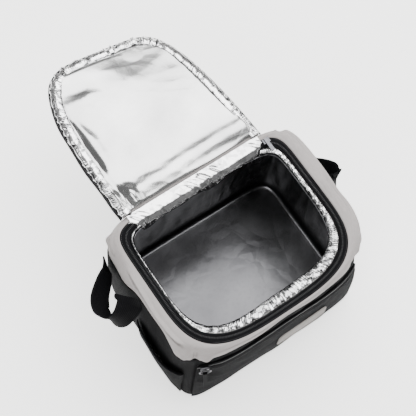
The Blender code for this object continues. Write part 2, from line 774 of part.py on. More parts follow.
def build_patch(material):
    low = PATCH_Z - PATCH_HEIGHT / 2.0
    half = PATCH_WIDTH / 2.0
    return wall_panel(
        "patch",
        wall_stretch("front", PATCH_X - half, PATCH_X + half, PATCH_Z),
        np.linspace(low, low + PATCH_HEIGHT, 5),
        lambda angles, points: 2.0 * SEAT + pocket_thickness(angles, points),
        lambda *places: PATCH_THICK,
        material,
    )


def add_block(name, centre, size, turn, material):
    """A small block with its edges rounded over."""
    work = bmesh.new()
    bmesh.ops.create_cube(work, size=1.0)
    for vertex in work.verts:
        vertex.co.x *= size[0]
        vertex.co.y *= size[1]
        vertex.co.z *= size[2]
    bmesh.ops.bevel(work, geom=work.edges[:], offset=0.22 * min(size), segments=1, affect="EDGES")
    mesh = bpy.data.meshes.new(name)
    work.to_mesh(mesh)
    work.free()
    mesh.shade_smooth()
    mesh.set_sharp_from_angle(angle=math.radians(40))
    mesh.materials.append(material)
    made = bpy.data.objects.new(name, mesh)
    made.location = centre
    made.rotation_euler = turn
    bpy.context.scene.collection.objects.link(made)
    return made


def build_main_slider(material):
    """The mouth zip's slider, at the right end of the hinge, and its pull."""
    angles = open_stations()
    seat = mouth(angles, 0.5 * TAPE_WIDTH, -0.4 * TAPE_THICK)
    x, y, z = seat[-1]
    lift = z + GAP + 0.5 * SLIDER_THICK
    x = x + 0.5 * SLIDER_LENGTH
    flat = (0.0, 0.0, 0.0)
    add_block("zip_slider", (x, y, lift), (SLIDER_LENGTH, SLIDER_WIDTH, SLIDER_THICK), flat, material)
    above = lift + 0.5 * SLIDER_THICK + GAP + 0.5 * PULL_THICK
    reach = 0.5 * PULL_LENGTH - 0.3 * SLIDER_LENGTH
    add_block("zip_pull", (x, y - reach, above), (PULL_WIDTH, PULL_LENGTH, PULL_THICK), flat, material)


def add_torus(name, centre, radius, wire, turn, material):
    """A ring of round wire."""
    around = 16
    section = 6
    a = np.arange(around) * 2.0 * math.pi / around
    b = np.arange(section) * 2.0 * math.pi / section
    big, small = np.meshgrid(a, b, indexing="ij")
    points = np.stack(
        [
            (radius + wire * np.cos(small)) * np.cos(big),
            wire * np.sin(small),
            (radius + wire * np.cos(small)) * np.sin(big),
        ],
        axis=-1,
    )
    made = add_object(name, points.reshape(-1, 3), grid_faces(around, section, True, True), material)
    made.location = centre
    made.rotation_euler = turn
    return made


def build_pocket_pull(metal, cloth):
    """The pocket zip's slider, a wire ring hanging in front of it, and a strap folded over the ring."""
    corner = -POCKET_WIDTH / 2.0
    angle = wall_stretch("front", corner, corner + SLIDER_IN, RIM_HEIGHT / 2.0)[-1:]
    z = WALL_SHARES[-2] * seam_height(angle) + GAP + 0.5 * ZIP_WIDTH
    beside = SLIDER_LENGTH / BODY_WIDTH
    before, base, after = wall(angle + np.array([-beside, 0.0, beside]), z * np.ones(3))
    turn = math.atan2(after[1] - before[1], after[0] - before[0])
    outward = np.array([math.sin(turn), -math.cos(turn), 0.0])
    spin = (0.0, 0.0, turn)
    face = SEAT + ZIP_THICK + SLIDER_SEAT
    add_block(
        "pocket_slider",
        base + outward * (face + 0.5 * SLIDER_THICK),
        (SLIDER_LENGTH, SLIDER_THICK, SLIDER_WIDTH),
        spin,
        metal,
    )
    ring = base + outward * (face + SLIDER_THICK + SEAT + RING_WIRE)
    ring[2] -= RING_DROP
    add_torus("pull_ring", ring, RING_RADIUS, RING_WIRE, spin, metal)
    half = 0.5 * STRAP_WIDTH
    rise = RING_RADIUS - math.sqrt(RING_RADIUS**2 - (half + RING_WIRE) ** 2)
    inside = RING_WIRE + GAP
    outside = inside + STRAP_THICK
    bottom = ring - np.array([0.0, 0.0, RING_RADIUS])
    belly = wall(angle, bottom[2] - STRAP_LENGTH)[0] - wall(angle, bottom[2])[0]
    swing = max(float(belly @ outward), 0.0) + POCKET_BULGE + SEAT
    section = [(outside, -STRAP_TUCK), (outside, outside + rise), (-outside, outside + rise)]
    section += [(-outside - swing, -STRAP_LENGTH), (-inside - swing, -STRAP_LENGTH)]
    section += [(-inside, inside + rise), (inside, inside + rise), (inside, -STRAP_TUCK)]
    along = np.array([math.cos(turn), math.sin(turn), 0.0])
    up = np.array([0.0, 0.0, 1.0])
    points = []
    for edge in (-half, half):
        points += [bottom + edge * along - across * outward + lift * up for across, lift in section]
    count = len(section)
    faces = [(0, 1, 6, 7), (1, 2, 5, 6), (2, 3, 4, 5)]
    faces += [tuple(count + index for index in face) for face in faces]
    for here in range(count):
        there = (here + 1) % count
        faces.append((here, there, there + count, here + count))
    add_object("pull_strap", points, faces, cloth)


def main():
    clear_objects()
    black = make_material("black_cloth", (0.012, 0.012, 0.013), 0.85)
    grey = make_material("grey_cloth", (0.42, 0.39, 0.385), 0.9)
    tape = make_material("zip_cloth", (0.010, 0.010, 0.011), 0.8)
    foil = make_material("foil", (0.78, 0.78, 0.79), 0.25, 1.0)
    webbing = make_material("webbing", (0.010, 0.010, 0.011), 0.75)
    metal = make_material("dark_metal", (0.10, 0.10, 0.11), 0.35, 1.0)
    woven = make_material("woven_patch", (0.35, 0.34, 0.33), 0.85)
    build_body(black)
    build_yoke(grey)
    build_liner(foil)
    build_mouth_tape(tape)
    build_mouth_binding(foil)
    build_hinge_foil(foil)
    build_lid_cover(grey)
    build_lid_foil(foil)
    build_lid_binding(foil)
    build_lid_tape(tape)
    build_handle("handle_left", -1, HANDLE_BACK, HANDLE_REACH, HANDLE_SPAN, 1.0, webbing)
    build_handle("handle_right", 1, RIGHT_BACK, RIGHT_REACH, RIGHT_SPAN, RIGHT_DELAY, webbing)
    build_side_pocket(black)
    build_front_pocket(black)
    build_pocket_zip(tape)
    build_patch(woven)
    build_main_slider(metal)
    build_pocket_pull(metal, tape)


main()
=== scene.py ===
import math

import bpy
import numpy as np
from mathutils import Matrix, Vector


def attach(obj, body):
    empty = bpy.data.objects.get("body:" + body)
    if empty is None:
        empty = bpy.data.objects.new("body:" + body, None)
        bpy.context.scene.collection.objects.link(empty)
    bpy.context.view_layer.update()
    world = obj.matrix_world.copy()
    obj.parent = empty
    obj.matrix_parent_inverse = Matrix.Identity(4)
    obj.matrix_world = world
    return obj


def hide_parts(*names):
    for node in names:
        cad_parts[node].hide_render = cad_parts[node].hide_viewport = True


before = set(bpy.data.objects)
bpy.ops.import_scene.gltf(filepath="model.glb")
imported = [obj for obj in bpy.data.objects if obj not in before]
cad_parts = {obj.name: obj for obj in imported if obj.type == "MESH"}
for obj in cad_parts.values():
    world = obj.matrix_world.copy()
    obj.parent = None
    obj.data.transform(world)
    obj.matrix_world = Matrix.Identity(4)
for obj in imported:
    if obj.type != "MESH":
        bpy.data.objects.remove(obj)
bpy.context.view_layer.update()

# Sizes in metres that more than one piece is cut to, the same as the rigid frame's.
bag = {
    "baseWidth": 0.287,
    "baseDepth": 0.219,
    "bodyWidth": 0.297,
    "bodyDepth": 0.219,
    "rim": 0.206,
    "seam": 0.165,
    "wall": 0.0045,
    "round": 0.006,
    "lean": 0.004,
    "sag": 0.004,
    "slack": 0.010,
    "archRise": 0.028,
    "archWidth": 0.270,
    "cornerDrop": 0.004,
    "shoulderSide": 0.0195,
    "shoulderBack": 0.014,
    "hingeWidth": 0.208,
    "tapeWidth": 0.010,
    "tapeThick": 0.0014,
    "gap": 0.0003,
    "seat": 0.0005,
    "foil": 0.0012,
}

# The wall's profile: belly is a share of the way from the base's size to the body's,
# front and back say how square the corners are.
wallRows = {
    "height": [0.0, 0.2, 0.45, 0.7, 0.85, 1.0],
    "belly": [0.0, 0.55, 1.0, 1.0, 0.9, 0.6],
    "front": [10.0, 8.0, 5.6, 4.0, 3.6, 3.5],
    "back": [8.5, 8.0, 7.5, 8.0, 9.0, 9.0],
}

# Dents and bulges of the walls; push is a share of the slack, outward positive.
dentRows = [
    {"side": "left", "along": -0.08, "reach": 0.42, "height": 0.80, "spread": 0.16, "push": -1.05},
    {"side": "left", "along": 0.80, "reach": 0.36, "height": 0.98, "spread": 0.26, "push": -0.80},
    {"side": "left", "along": -0.72, "reach": 0.14, "height": 0.78, "spread": 0.14, "push": 0.35},
    {"side": "right", "along": 0.40, "reach": 0.60, "height": 0.90, "spread": 0.22, "push": 0.80},
    {"side": "right", "along": -0.50, "reach": 0.32, "height": 0.92, "spread": 0.16, "push": 0.55},
    {"side": "right", "along": -0.45, "reach": 0.20, "height": 0.55, "spread": 0.30, "push": -0.25},
    {"side": "front", "along": 0.10, "reach": 0.60, "height": 0.40, "spread": 0.40, "push": 0.30},
    {"side": "front", "along": -0.78, "reach": 0.12, "height": 0.62, "spread": 0.18, "push": -0.30},
    {"side": "back", "along": -0.30, "reach": 0.45, "height": 0.45, "spread": 0.35, "push": 0.30},
    {"side": "back", "along": 0.45, "reach": 0.25, "height": 0.60, "spread": 0.30, "push": -0.25},
]


def outlineAt(angles, width, depth, power):
    # rounded rectangle |x/a|^p + |y/b|^p = 1, read by angle
    radius = np.abs(np.cos(angles) / (width / 2)) ** power + np.abs(np.sin(angles) / (depth / 2)) ** power
    radius = radius ** (-1 / power)
    return radius * np.cos(angles), radius * np.sin(angles)


def stationsAround(count):
    # angles round the bag, closer together at its corners
    turn = np.arange(count) * 2 * math.pi / count
    x = bag["bodyWidth"] * np.sign(np.cos(turn)) * np.abs(np.cos(turn)) ** (2 / 2.8)
    y = bag["bodyDepth"] * np.sign(np.sin(turn)) * np.abs(np.sin(turn)) ** (2 / 2.8)
    return np.arctan2(y, x)


def readSmooth(place, places, values):
    # a table's column with its corners rounded: straight runs averaged over a window of 0.14
    fine = np.linspace(-0.3, 1.3, 321)
    window = np.hanning(29)
    rounded = np.convolve(np.interp(fine, places, values), window / window.sum(), mode="same")
    return np.interp(place, fine, rounded)


def wallSize(angles, height):
    share = height / bag["rim"]
    belly, front, back = (
        readSmooth(share, wallRows["height"], wallRows[key]) for key in ("belly", "front", "back")
    )
    width = bag["baseWidth"] + (bag["bodyWidth"] - bag["baseWidth"]) * belly
    depth = bag["baseDepth"] + (bag["bodyDepth"] - bag["baseDepth"]) * belly
    return width, depth, np.where(np.sin(angles) < 0, front, back)


def wallAt(angles, height, inset=0.0):
    # outline at each height, plus a round bump for each dent, leaning forward with the height squared
    angles, height, inset = np.broadcast_arrays(angles, height, inset)
    width, depth, power = wallSize(angles, height)
    x, y = outlineAt(angles, width, depth, power)
    across, along = x / (width / 2), y / (depth / 2)
    sides = {"left": (-across, along, -1, 0), "right": (across, along, 1, 0)}
    sides.update({"front": (-along, across, 0, -1), "back": (along, across, 0, 1)})
    x, y = outlineAt(angles, width - 2 * inset, depth - 2 * inset, power)
    for row in dentRows:
        facing, place, toX, toY = sides[row["side"]]
        beside = (place - row["along"]) / row["reach"]
        above = (height / bag["rim"] - row["height"]) / row["spread"]
        bump = row["push"] * bag["slack"] * np.exp(-(beside**4) - above**2)
        bump = bump * np.clip((facing - 0.78) / 0.18, 0, 1)
        x, y = x + bump * toX, y + bump * toY
    return np.stack([x, y - bag["lean"] * (height / bag["rim"]) ** 2, height], -1)


def rimHeight(angles):
    return bag["rim"] - bag["sag"] * np.clip(-np.sin(angles), 0, 1) ** 2


def mouthAt(angles, inset, drop=0.0):
    # the zipped mouth, a D with round front corners, moved inward and down
    angles, inset, drop = np.broadcast_arrays(angles, inset, drop)
    belly = wallRows["belly"][-1]
    width = bag["baseWidth"] + (bag["bodyWidth"] - bag["baseWidth"]) * belly - 2 * bag["shoulderSide"]
    depth = bag["baseDepth"] + (bag["bodyDepth"] - bag["baseDepth"]) * belly - bag["shoulderBack"]
    power = np.where(np.sin(angles) < 0, 3.4, 9.0)
    x, y = outlineAt(angles, width - 2 * inset, depth - 2 * inset, power)
    return np.stack([x, y - bag["shoulderBack"] / 2, rimHeight(angles) - drop], -1)


def seamHeight(angles):
    # level, with a cosine-squared arch over the front and a small drop at its corners
    width, depth, power = wallSize(angles, np.full_like(angles, bag["seam"]))
    x, y = outlineAt(angles, width, depth, power)
    onFront = np.clip((-y / (depth / 2) - 0.75) / 0.15, 0, 1)
    arch = np.cos(math.pi / 2 * np.clip(np.abs(x) / (bag["archWidth"] / 2), 0, 1)) ** 2
    corner = np.exp(-(((np.abs(x) / width - 0.42) / 0.08) ** 2))
    return bag["seam"] + onFront * (bag["archRise"] * arch - bag["cornerDrop"] * corner)


def shoulderAt(angles, rise, inward, inset, reach, drop):
    # a share of the way up from the seam and of the way in to the mouth
    seam = seamHeight(angles)
    height = seam + rise * (rimHeight(angles) - seam)
    outside = wallAt(angles, height, inset)
    points = outside + np.asarray(inward)[..., None] * (mouthAt(angles, reach) - outside)
    points[..., 2] = height - drop
    return points


def openAngles(count):
    # from the hinge's left end round the front to its right end
    angles = stationsAround(count)
    edge = mouthAt(angles, 0.0)
    order = np.argsort(np.mod(angles - math.pi / 2, 2 * math.pi))
    kept = (edge[order, 1] < 0) | (np.abs(edge[order, 0]) > bag["hingeWidth"] / 2)
    return angles[order][kept]


def bindingWidth(angles):
    # rolled open at the front, standing up at the left
    front = np.clip(-np.sin(angles), 0, 1) ** 1.5
    return 0.0035 + 0.0125 * np.clip(front + 0.3 * np.clip(np.cos(angles), 0, 1), 0, 1)


def ripples(points, size, seed, ridged=False, waves=7):
    # sum of sine waves in random directions, about -1 to 1; ridged folds each one over, like creases
    random = np.random.RandomState(seed)
    total = 0
    for _ in range(waves):
        direction = random.normal(size=3)
        direction *= 2 * math.pi / (size * random.uniform(0.6, 1.7) * np.linalg.norm(direction))
        wave = np.sin(points @ direction + random.uniform(0, 6.28))
        total = total + (1 - 2 * np.abs(wave) if ridged else wave)
    return total / math.sqrt(waves * (1.0 if ridged else 1.5))


def crumple(points, size, seed):
    # creases bent by a softer, larger ripple, so that no two run alike
    shift = np.stack([ripples(points, size * 2.5, seed + axis) for axis in range(3)], -1)
    return ripples(points + 0.35 * size * shift, size, seed + 3, ridged=True)


def bell(value, middle, spread):
    return np.exp(-(((value - middle) / spread) ** 2))


def fade(value, start, end):
    # smooth step from 0 at start to 1 at end
    share = np.clip((value - start) / (end - start), 0, 1)
    return share * share * (3 - 2 * share)


def normalsOf(grid, closed):
    # cross product of the way along a row and the way up the columns
    if closed:
        beside = np.roll(grid, -1, 1) - np.roll(grid, 1, 1)
    else:
        beside = np.gradient(grid, axis=1)
    normal = np.cross(beside, np.gradient(grid, axis=0))
    return normal / np.maximum(np.linalg.norm(normal, axis=-1, keepdims=True), 1e-12)


def pushed(grid, amount, closed=True):
    return grid + normalsOf(grid, closed) * amount[..., None]


def twoFaced(visible, thickness, closed):
    # the visible face and, behind it by the cloth's thickness, the hidden one
    return np.concatenate([(visible - normalsOf(visible, closed) * thickness)[::-1], visible])


def addMesh(name, points, faces, uvs, material):
    mesh = bpy.data.meshes.new(name)
    mesh.from_pydata(points, [], faces)
    if uvs is not None:
        mesh.uv_layers.new(name="UVMap").data.foreach_set("uv", np.asarray(uvs, dtype=np.float32).ravel())
    mesh.shade_smooth()
    mesh.materials.append(material)
    made = bpy.data.objects.new(name, mesh)
    bpy.context.scene.collection.objects.link(made)
    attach(made, "root")
    return made


def makeSkin(name, grid, material, closed=True, poles=False):
    # a grid of points as one closed skin: rows wrap round, or end in a pole at each end;
    # the UV map is in metres, along the longest row and up the mean column
    rows, columns = grid.shape[:2]
    step = np.linalg.norm(np.roll(grid, -1, 1) - grid, axis=2)
    along = np.concatenate([[0], np.cumsum(step[step.sum(axis=1).argmax()])])
    up = np.concatenate([[0], np.cumsum(np.linalg.norm(np.roll(grid, -1, 0) - grid, axis=2).mean(axis=1))])
    r, c = np.meshgrid(np.arange(rows - poles), np.arange(columns - (not closed)), indexing="ij")
    ways = ((0, 0), (0, 1), (1, 1), (1, 0))
    quads = np.stack([(r + a) % rows * columns + (c + b) % columns for a, b in ways], -1).reshape(-1, 4)
    uvs = [np.stack([np.stack([along[c + b], up[r + a]], -1) for a, b in ways], 2).reshape(-1, 2)]
    points = grid.reshape(-1, 3)
    faces = quads.tolist()
    if poles:
        points = np.concatenate([points, [grid[0].mean(axis=0)], [grid[-1].mean(axis=0)]])
        c = np.arange(columns)
        beside = (c + 1) % columns
        for row, first, second in ((0, c + 1, c), (rows - 1, c, c + 1)):
            middle = np.full(columns, rows * columns + (row > 0))
            ring = [row * columns + place % columns for place in (first, second)]
            faces += np.stack([*ring, middle], -1).tolist()
            tips = [np.stack([along[place], np.full(columns, up[row])], -1) for place in (first, second, c)]
            uvs.append(np.stack(tips, 1).reshape(-1, 2))
    elif not closed:
        half = rows // 2
        r = np.arange(half - 1)
        for column, ring in (
            (0, (r, r + 1, rows - 2 - r, rows - 1 - r)),
            (columns - 1, (r + 1, r, rows - 1 - r, rows - 2 - r)),
        ):
            faces += np.stack([row * columns + column for row in ring], -1).tolist()
            tips = [np.stack([np.full(half - 1, along[column]), up[row]], -1) for row in ring]
            uvs.append(np.stack(tips, 1).reshape(-1, 2))
    return addMesh(name, points, faces, np.concatenate(uvs), material)


def makeStrip(name, visible, hidden, material):
    # a thin skin that is open at its two ends, from its visible and its hidden face
    return makeSkin(name, np.concatenate([visible, hidden[::-1]]), material, closed=False)


def makeBeads(name, centres, along, up, size, material):
    # small capsules, six-sided with rounded ends: stitches and zip teeth; size is length, width, height
    along = along / np.linalg.norm(along, axis=1, keepdims=True)
    side = np.cross(up, along)
    side /= np.linalg.norm(side, axis=1, keepdims=True)
    up = np.cross(along, side)
    ring = np.arange(6) * math.pi / 3
    place = np.array([-0.5, -0.36, 0.36, 0.5])[:, None]
    girth = np.array([0.3, 0.5, 0.5, 0.3])[:, None]
    shape = np.stack([place + 0 * ring, girth * np.cos(ring), girth * np.sin(ring)], -1).reshape(-1, 3) * size
    points = centres[:, None] + shape[None, :, :1] * along[:, None] + shape[None, :, 1:2] * side[:, None]
    points = points + shape[None, :, 2:] * up[:, None]
    a, b = (part.ravel() for part in np.meshgrid(np.arange(3) * 6, np.arange(6), indexing="ij"))
    beside = (b + 1) % 6
    faces = np.stack([a + beside, a + b, a + 6 + b, a + 6 + beside], -1)
    tops = np.array([np.arange(6)[::-1], np.arange(18, 24)])
    start = (np.arange(len(centres)) * 24)[:, None, None]
    every = (start + faces[None, :, ::-1]).reshape(-1, 4).tolist()
    every += (start + tops[None]).reshape(-1, 6).tolist()
    return addMesh(name, points.reshape(-1, 3), every, None, material)


def spaced(run, spacing):
    # points at even spacing along a run, with the way along it
    length = np.concatenate([[0], np.cumsum(np.linalg.norm(np.diff(run, axis=0), axis=1))])
    place = np.arange(spacing / 2, length[-1], spacing)
    found = np.stack([np.interp(place, length, run[:, axis]) for axis in range(3)], -1)
    return found, np.gradient(found, axis=0)


def outward(along):
    # level and square to the way along a wall
    out = np.cross(along, [0, 0, 1.0])
    return out / np.linalg.norm(out, axis=1, keepdims=True)


def upward(along):
    return np.tile([0.0, 0, 1], (len(along), 1))


def sew(name, line, spacing, size, material, facing=upward, off=0.0):
    # a row of stitches along a line, each lying on a surface that faces up or out
    run, along = spaced(line, spacing)
    return makeBeads(name, run + off * facing(along), along, facing(along), size, material)


def linearColour(code):
    # sRGB hex to linear
    parts = [int(code[place : place + 2], 16) / 255 for place in (1, 3, 5)]
    return [part / 12.92 if part < 0.04045 else ((part + 0.055) / 1.055) ** 2.4 for part in parts] + [1.0]


def addNode(tree, kind, settings=None, links=None):
    node = tree.nodes.new("ShaderNode" + kind)
    for key, value in (settings or {}).items():
        if isinstance(key, str) and hasattr(node, key):
            setattr(node, key, value)
        else:
            node.inputs[key].default_value = value
    for key, source in (links or {}).items():
        tree.links.new(source, node.inputs[key])
    return node


def startMaterial(name, settings):
    material = bpy.data.materials.new(name)
    material.use_nodes = True
    shader = material.node_tree.nodes["Principled BSDF"]
    for key, value in settings.items():
        shader.inputs[key].default_value = value
    return material, material.node_tree, shader


def finishMaterial(tree, shader, amount, colours, height=None, strength=0.0, distance=0.0):
    # colour blended between two hex codes by an amount, and a bump wherever there is a height
    blend = {"data_type": "RGBA", 6: linearColour(colours[0]), 7: linearColour(colours[1])}
    mixed = addNode(tree, "Mix", blend, {0: amount})
    tree.links.new(mixed.outputs[2], shader.inputs["Base Color"])
    if height is not None:
        raised = addNode(tree, "Bump", {"Strength": strength, "Distance": distance}, {"Height": height})
        tree.links.new(raised.outputs[0], shader.inputs["Normal"])


waveRepeat = 0.314  # a wave texture of scale 1 repeats every 0.314 m


def weaveHeight(tree, coords, spacing):
    # plain weave: the difference of two crossing trains of waves, so that crossings alternate
    warp, weft = (
        addNode(tree, "TexWave", {"bands_direction": way, "Scale": waveRepeat / spacing}, {"Vector": coords})
        for way in ("X", "Y")
    )
    over = addNode(tree, "Math", {"operation": "SUBTRACT"}, {0: warp.outputs["Fac"], 1: weft.outputs["Fac"]})
    return addNode(tree, "Math", {"operation": "ABSOLUTE"}, {0: over.outputs[0]}).outputs[0]


def makeCloth(name, dark, light, spacing, bump, roughness, sheen, fleck):
    # woven polyester: matt threads, a faint sheen along the folds, colour flecked from yarn to yarn
    surface = {"Roughness": roughness, "Specular IOR Level": 0.04}
    surface.update({"Sheen Weight": sheen, "Sheen Roughness": 0.5})
    material, tree, shader = startMaterial(name, surface)
    coords = addNode(tree, "TexCoord").outputs
    weave = weaveHeight(tree, coords["UV"], spacing)
    yarn = (1 / (6 * spacing), 1 / (1.2 * spacing), 1)
    yarns = addNode(tree, "Mapping", {"Scale": yarn}, {"Vector": coords["UV"]})
    flecks = addNode(tree, "TexNoise", {"Scale": 1.0, "Detail": 3.0}, {"Vector": yarns.outputs[0]})
    cloudy = addNode(tree, "TexNoise", {"Scale": 22.0, "Detail": 3.0}, {"Vector": coords["Object"]})
    some = addNode(tree, "Math", {"operation": "MULTIPLY", 1: fleck}, {0: flecks.outputs["Fac"]})
    add = {"operation": "MULTIPLY_ADD"}
    more = addNode(tree, "Math", {**add, 1: 0.35}, {0: weave, 2: some.outputs[0]})
    soft = addNode(tree, "Math", {**add, 1: 0.3}, {0: cloudy.outputs["Fac"], 2: more.outputs[0]})
    finishMaterial(tree, shader, soft.outputs[0], (dark, light), weave, bump, spacing * 0.3)
    return material


def makeFoil(name, tint, roughness, crease, creaseSize, paintedReflection):
    # aluminium film on foam: a soft mirror with a fine orange-peel and hairline creases, with dark patches in
    # its colour that are painted reflection of dark surroundings in crinkled facets
    material, tree, shader = startMaterial(name, {"Metallic": 1.0, "Roughness": roughness})
    coords = addNode(tree, "TexCoord").outputs["Object"]
    peel = addNode(tree, "TexNoise", {"Scale": 160.0, "Detail": 2.0}, {"Vector": coords})
    bend = addNode(tree, "TexNoise", {"Scale": 14.0, "Detail": 2.0}, {"Vector": coords})
    add = {"operation": "MULTIPLY_ADD"}
    bent = addNode(tree, "VectorMath", {**add, 1: (0.05, 0.05, 0.05)}, {0: bend.outputs["Color"], 2: coords})
    cells = {"feature": "DISTANCE_TO_EDGE", "Scale": 1 / creaseSize}
    lines = addNode(tree, "TexVoronoi", cells, {"Vector": bent.outputs[0]})
    height = addNode(tree, "Math", {**add, 1: 0.15}, {0: peel.outputs["Fac"], 2: lines.outputs["Distance"]})
    finishMaterial(tree, shader, bend.outputs["Fac"], tint, height.outputs[0], crease, 0.002)
    ends = {"To Min": roughness * 0.8, "To Max": roughness * 1.35}
    wear = addNode(tree, "MapRange", ends, {"Value": bend.outputs["Fac"]})
    tree.links.new(wear.outputs[0], shader.inputs["Roughness"])
    # painted reflection: noise patches blend the base colour towards dark grey #3E3E40, standing in for dark
    # surroundings mirrored in the facets; the last argument sets how strongly
    facets = addNode(tree, "TexNoise", {"Scale": 1 / 0.0062, "Detail": 1.0}, {"Vector": coords})
    ends = {"From Min": 0.52, "From Max": 0.60, "To Max": paintedReflection}
    paintedReflectionMask = addNode(tree, "MapRange", ends, {"Value": facets.outputs["Fac"]})
    tinted = shader.inputs["Base Color"].links[0].from_socket
    blend = {"data_type": "RGBA", 7: linearColour("#3E3E40")}
    shade = addNode(tree, "Mix", blend, {0: paintedReflectionMask.outputs[0], 6: tinted})
    tree.links.new(shade.outputs[2], shader.inputs["Base Color"])
    return material


def makeWebbing(name, dark, light):
    # polypropylene webbing: lengthwise ribs 2.5 mm apart crossed by picks, a dull plastic gleam
    material, tree, shader = startMaterial(name, {"Roughness": 0.6, "Specular IOR Level": 0.06})
    coords = addNode(tree, "TexCoord").outputs["UV"]
    waves = {"bands_direction": "Y", "Scale": waveRepeat / 0.0025}
    ribs = addNode(tree, "TexWave", waves, {"Vector": coords})
    picks = weaveHeight(tree, coords, 0.0014)
    both = {0: picks, 2: ribs.outputs["Fac"]}
    height = addNode(tree, "Math", {"operation": "MULTIPLY_ADD", 1: 0.5}, both).outputs[0]
    finishMaterial(tree, shader, height, (dark, light), height, 0.5, 0.0006)
    return material


def makeBlackNickel():
    # die-cast zinc plated black nickel: dark, smooth, a little worn
    material, tree, shader = startMaterial("blackNickel", {"Metallic": 1.0, "Roughness": 0.28})
    coords = addNode(tree, "TexCoord").outputs["Object"]
    worn = addNode(tree, "TexNoise", {"Scale": 300.0, "Detail": 3.0}, {"Vector": coords})
    finishMaterial(tree, shader, worn.outputs["Fac"], ("#3C3C3F", "#6E6E72"))
    rough = addNode(tree, "MapRange", {"To Min": 0.2, "To Max": 0.4}, {"Value": worn.outputs["Fac"]})
    tree.links.new(rough.outputs[0], shader.inputs["Roughness"])
    return material


def makePlastic(name, colour, light, roughness):
    # moulded nylon: even colour with a faint mottle
    material, tree, shader = startMaterial(name, {"Roughness": roughness})
    coords = addNode(tree, "TexCoord").outputs["Object"]
    mottle = addNode(tree, "TexNoise", {"Scale": 500.0}, {"Vector": coords})
    finishMaterial(tree, shader, mottle.outputs["Fac"], (colour, light))
    return material


# 600-denier threads are 0.5 mm apart, too fine to show, so they are drawn 1.1 to 1.3 mm apart
blackOxford = makeCloth("blackOxford", "#050506", "#161618", 0.0013, 0.4, 0.8, 0.01, 0.35)
greyMelange = makeCloth("greyMelange", "#837E7D", "#ADA8A6", 0.0012, 0.25, 0.88, 0.06, 0.5)
zipCloth = makeCloth("zipCloth", "#050506", "#141416", 0.0012, 0.35, 0.65, 0.02, 0.3)
patchCloth = makeCloth("patchCloth", "#77736F", "#9C9894", 0.0011, 0.4, 0.8, 0.1, 0.4)
# in each foil the last number is how strongly dark reflections are painted into its colour
lidFilm = makeFoil("lidFilm", ("#979798", "#E4E4E3"), 0.22, 0.20, 0.03, 0.04)
crinkledFilm = makeFoil("crinkledFilm", ("#DADADB", "#F4F4F4"), 0.17, 0.25, 0.008, 0.8)
pleatedFilm = makeFoil("pleatedFilm", ("#CFCFD0", "#F0F0F0"), 0.2, 0.2, 0.014, 0.3)
# the lining is the same foil as the lid, tinted dark as painted shade: the look of the foil in the bag's
# shade
shadedLiningFilm = makeFoil("shadedLiningFilm", ("#39393B", "#666668"), 0.28, 0.20, 0.026, 0.1)
strapWebbing = makeWebbing("strapWebbing", "#050506", "#151517")
blackNickel = makeBlackNickel()
blackNylon = makePlastic("blackNylon", "#131314", "#232325", 0.35)
blackThread = makePlastic("blackThread", "#1B1B1C", "#343436", 0.6)
greyThread = makePlastic("greyThread", "#8D8B8A", "#B4B2B0", 0.6)
print("materials made")


# Camera, light and floor
camera = {
    "azimuth": -40.3,
    "elevation": 70.0,
    "roll": 6.4,
    "distance": 1.45,
    "target": (0.017, 0.084, 0.10),
    "lens": 91.7,
}


def wayTo(azimuth, elevation):
    # unit vector from the bag to a place in the sky; azimuth 0 is in front and 90 to the right
    azimuth, elevation = math.radians(azimuth), math.radians(elevation)
    level = math.cos(elevation)
    return Vector((math.sin(azimuth) * level, -math.cos(azimuth) * level, math.sin(elevation)))


def placeCamera():
    roll = math.radians(camera["roll"])
    back = wayTo(camera["azimuth"], camera["elevation"])
    right = Vector((0, 0, 1)).cross(back).normalized()
    up = back.cross(right)
    turnedRight = math.cos(roll) * right + math.sin(roll) * up
    turnedUp = math.cos(roll) * up - math.sin(roll) * right
    place = Vector(camera["target"]) + camera["distance"] * back
    rows = [(turnedRight[i], turnedUp[i], back[i], place[i]) for i in range(3)]
    made = bpy.data.objects.new("camera", bpy.data.cameras.new("camera"))
    made.matrix_world = Matrix(rows + [(0, 0, 0, 1)])
    made.data.lens = camera["lens"]
    made.data.sensor_width = 36.0
    bpy.context.scene.collection.objects.link(made)
    bpy.context.scene.camera = made


studio = {
    "floor": "#F4F4F3",
    "floorGlow": 1.6,
    "floorHalf": 15.0,
    "world": "#E8E8E8",
    "worldStrength": 0.30,
    "aim": (0, 0.08, 0.1),
    "boxes": [
        {"name": "ceilingBox", "azimuth": 130, "elevation": 68, "distance": 2.6, "size": 3.0, "power": 200},
        {"name": "frontBox", "azimuth": -60, "elevation": 48, "distance": 2.4, "size": 1.0, "power": 24},
        {"name": "rightBox", "azimuth": 70, "elevation": 35, "distance": 2.4, "size": 0.9, "power": 12},
    ],
}


def placeLight(name, azimuth, elevation, distance, size, power):
    # a square soft box aimed at the bag
    way = wayTo(azimuth, elevation)
    light = bpy.data.lights.new(name, "AREA")
    light.shape = "SQUARE"
    light.size = size
    light.energy = power
    made = bpy.data.objects.new(name, light)
    made.location = Vector(studio["aim"]) + distance * way
    made.rotation_euler = way.to_track_quat("Z", "Y").to_euler()
    bpy.context.scene.collection.objects.link(made)


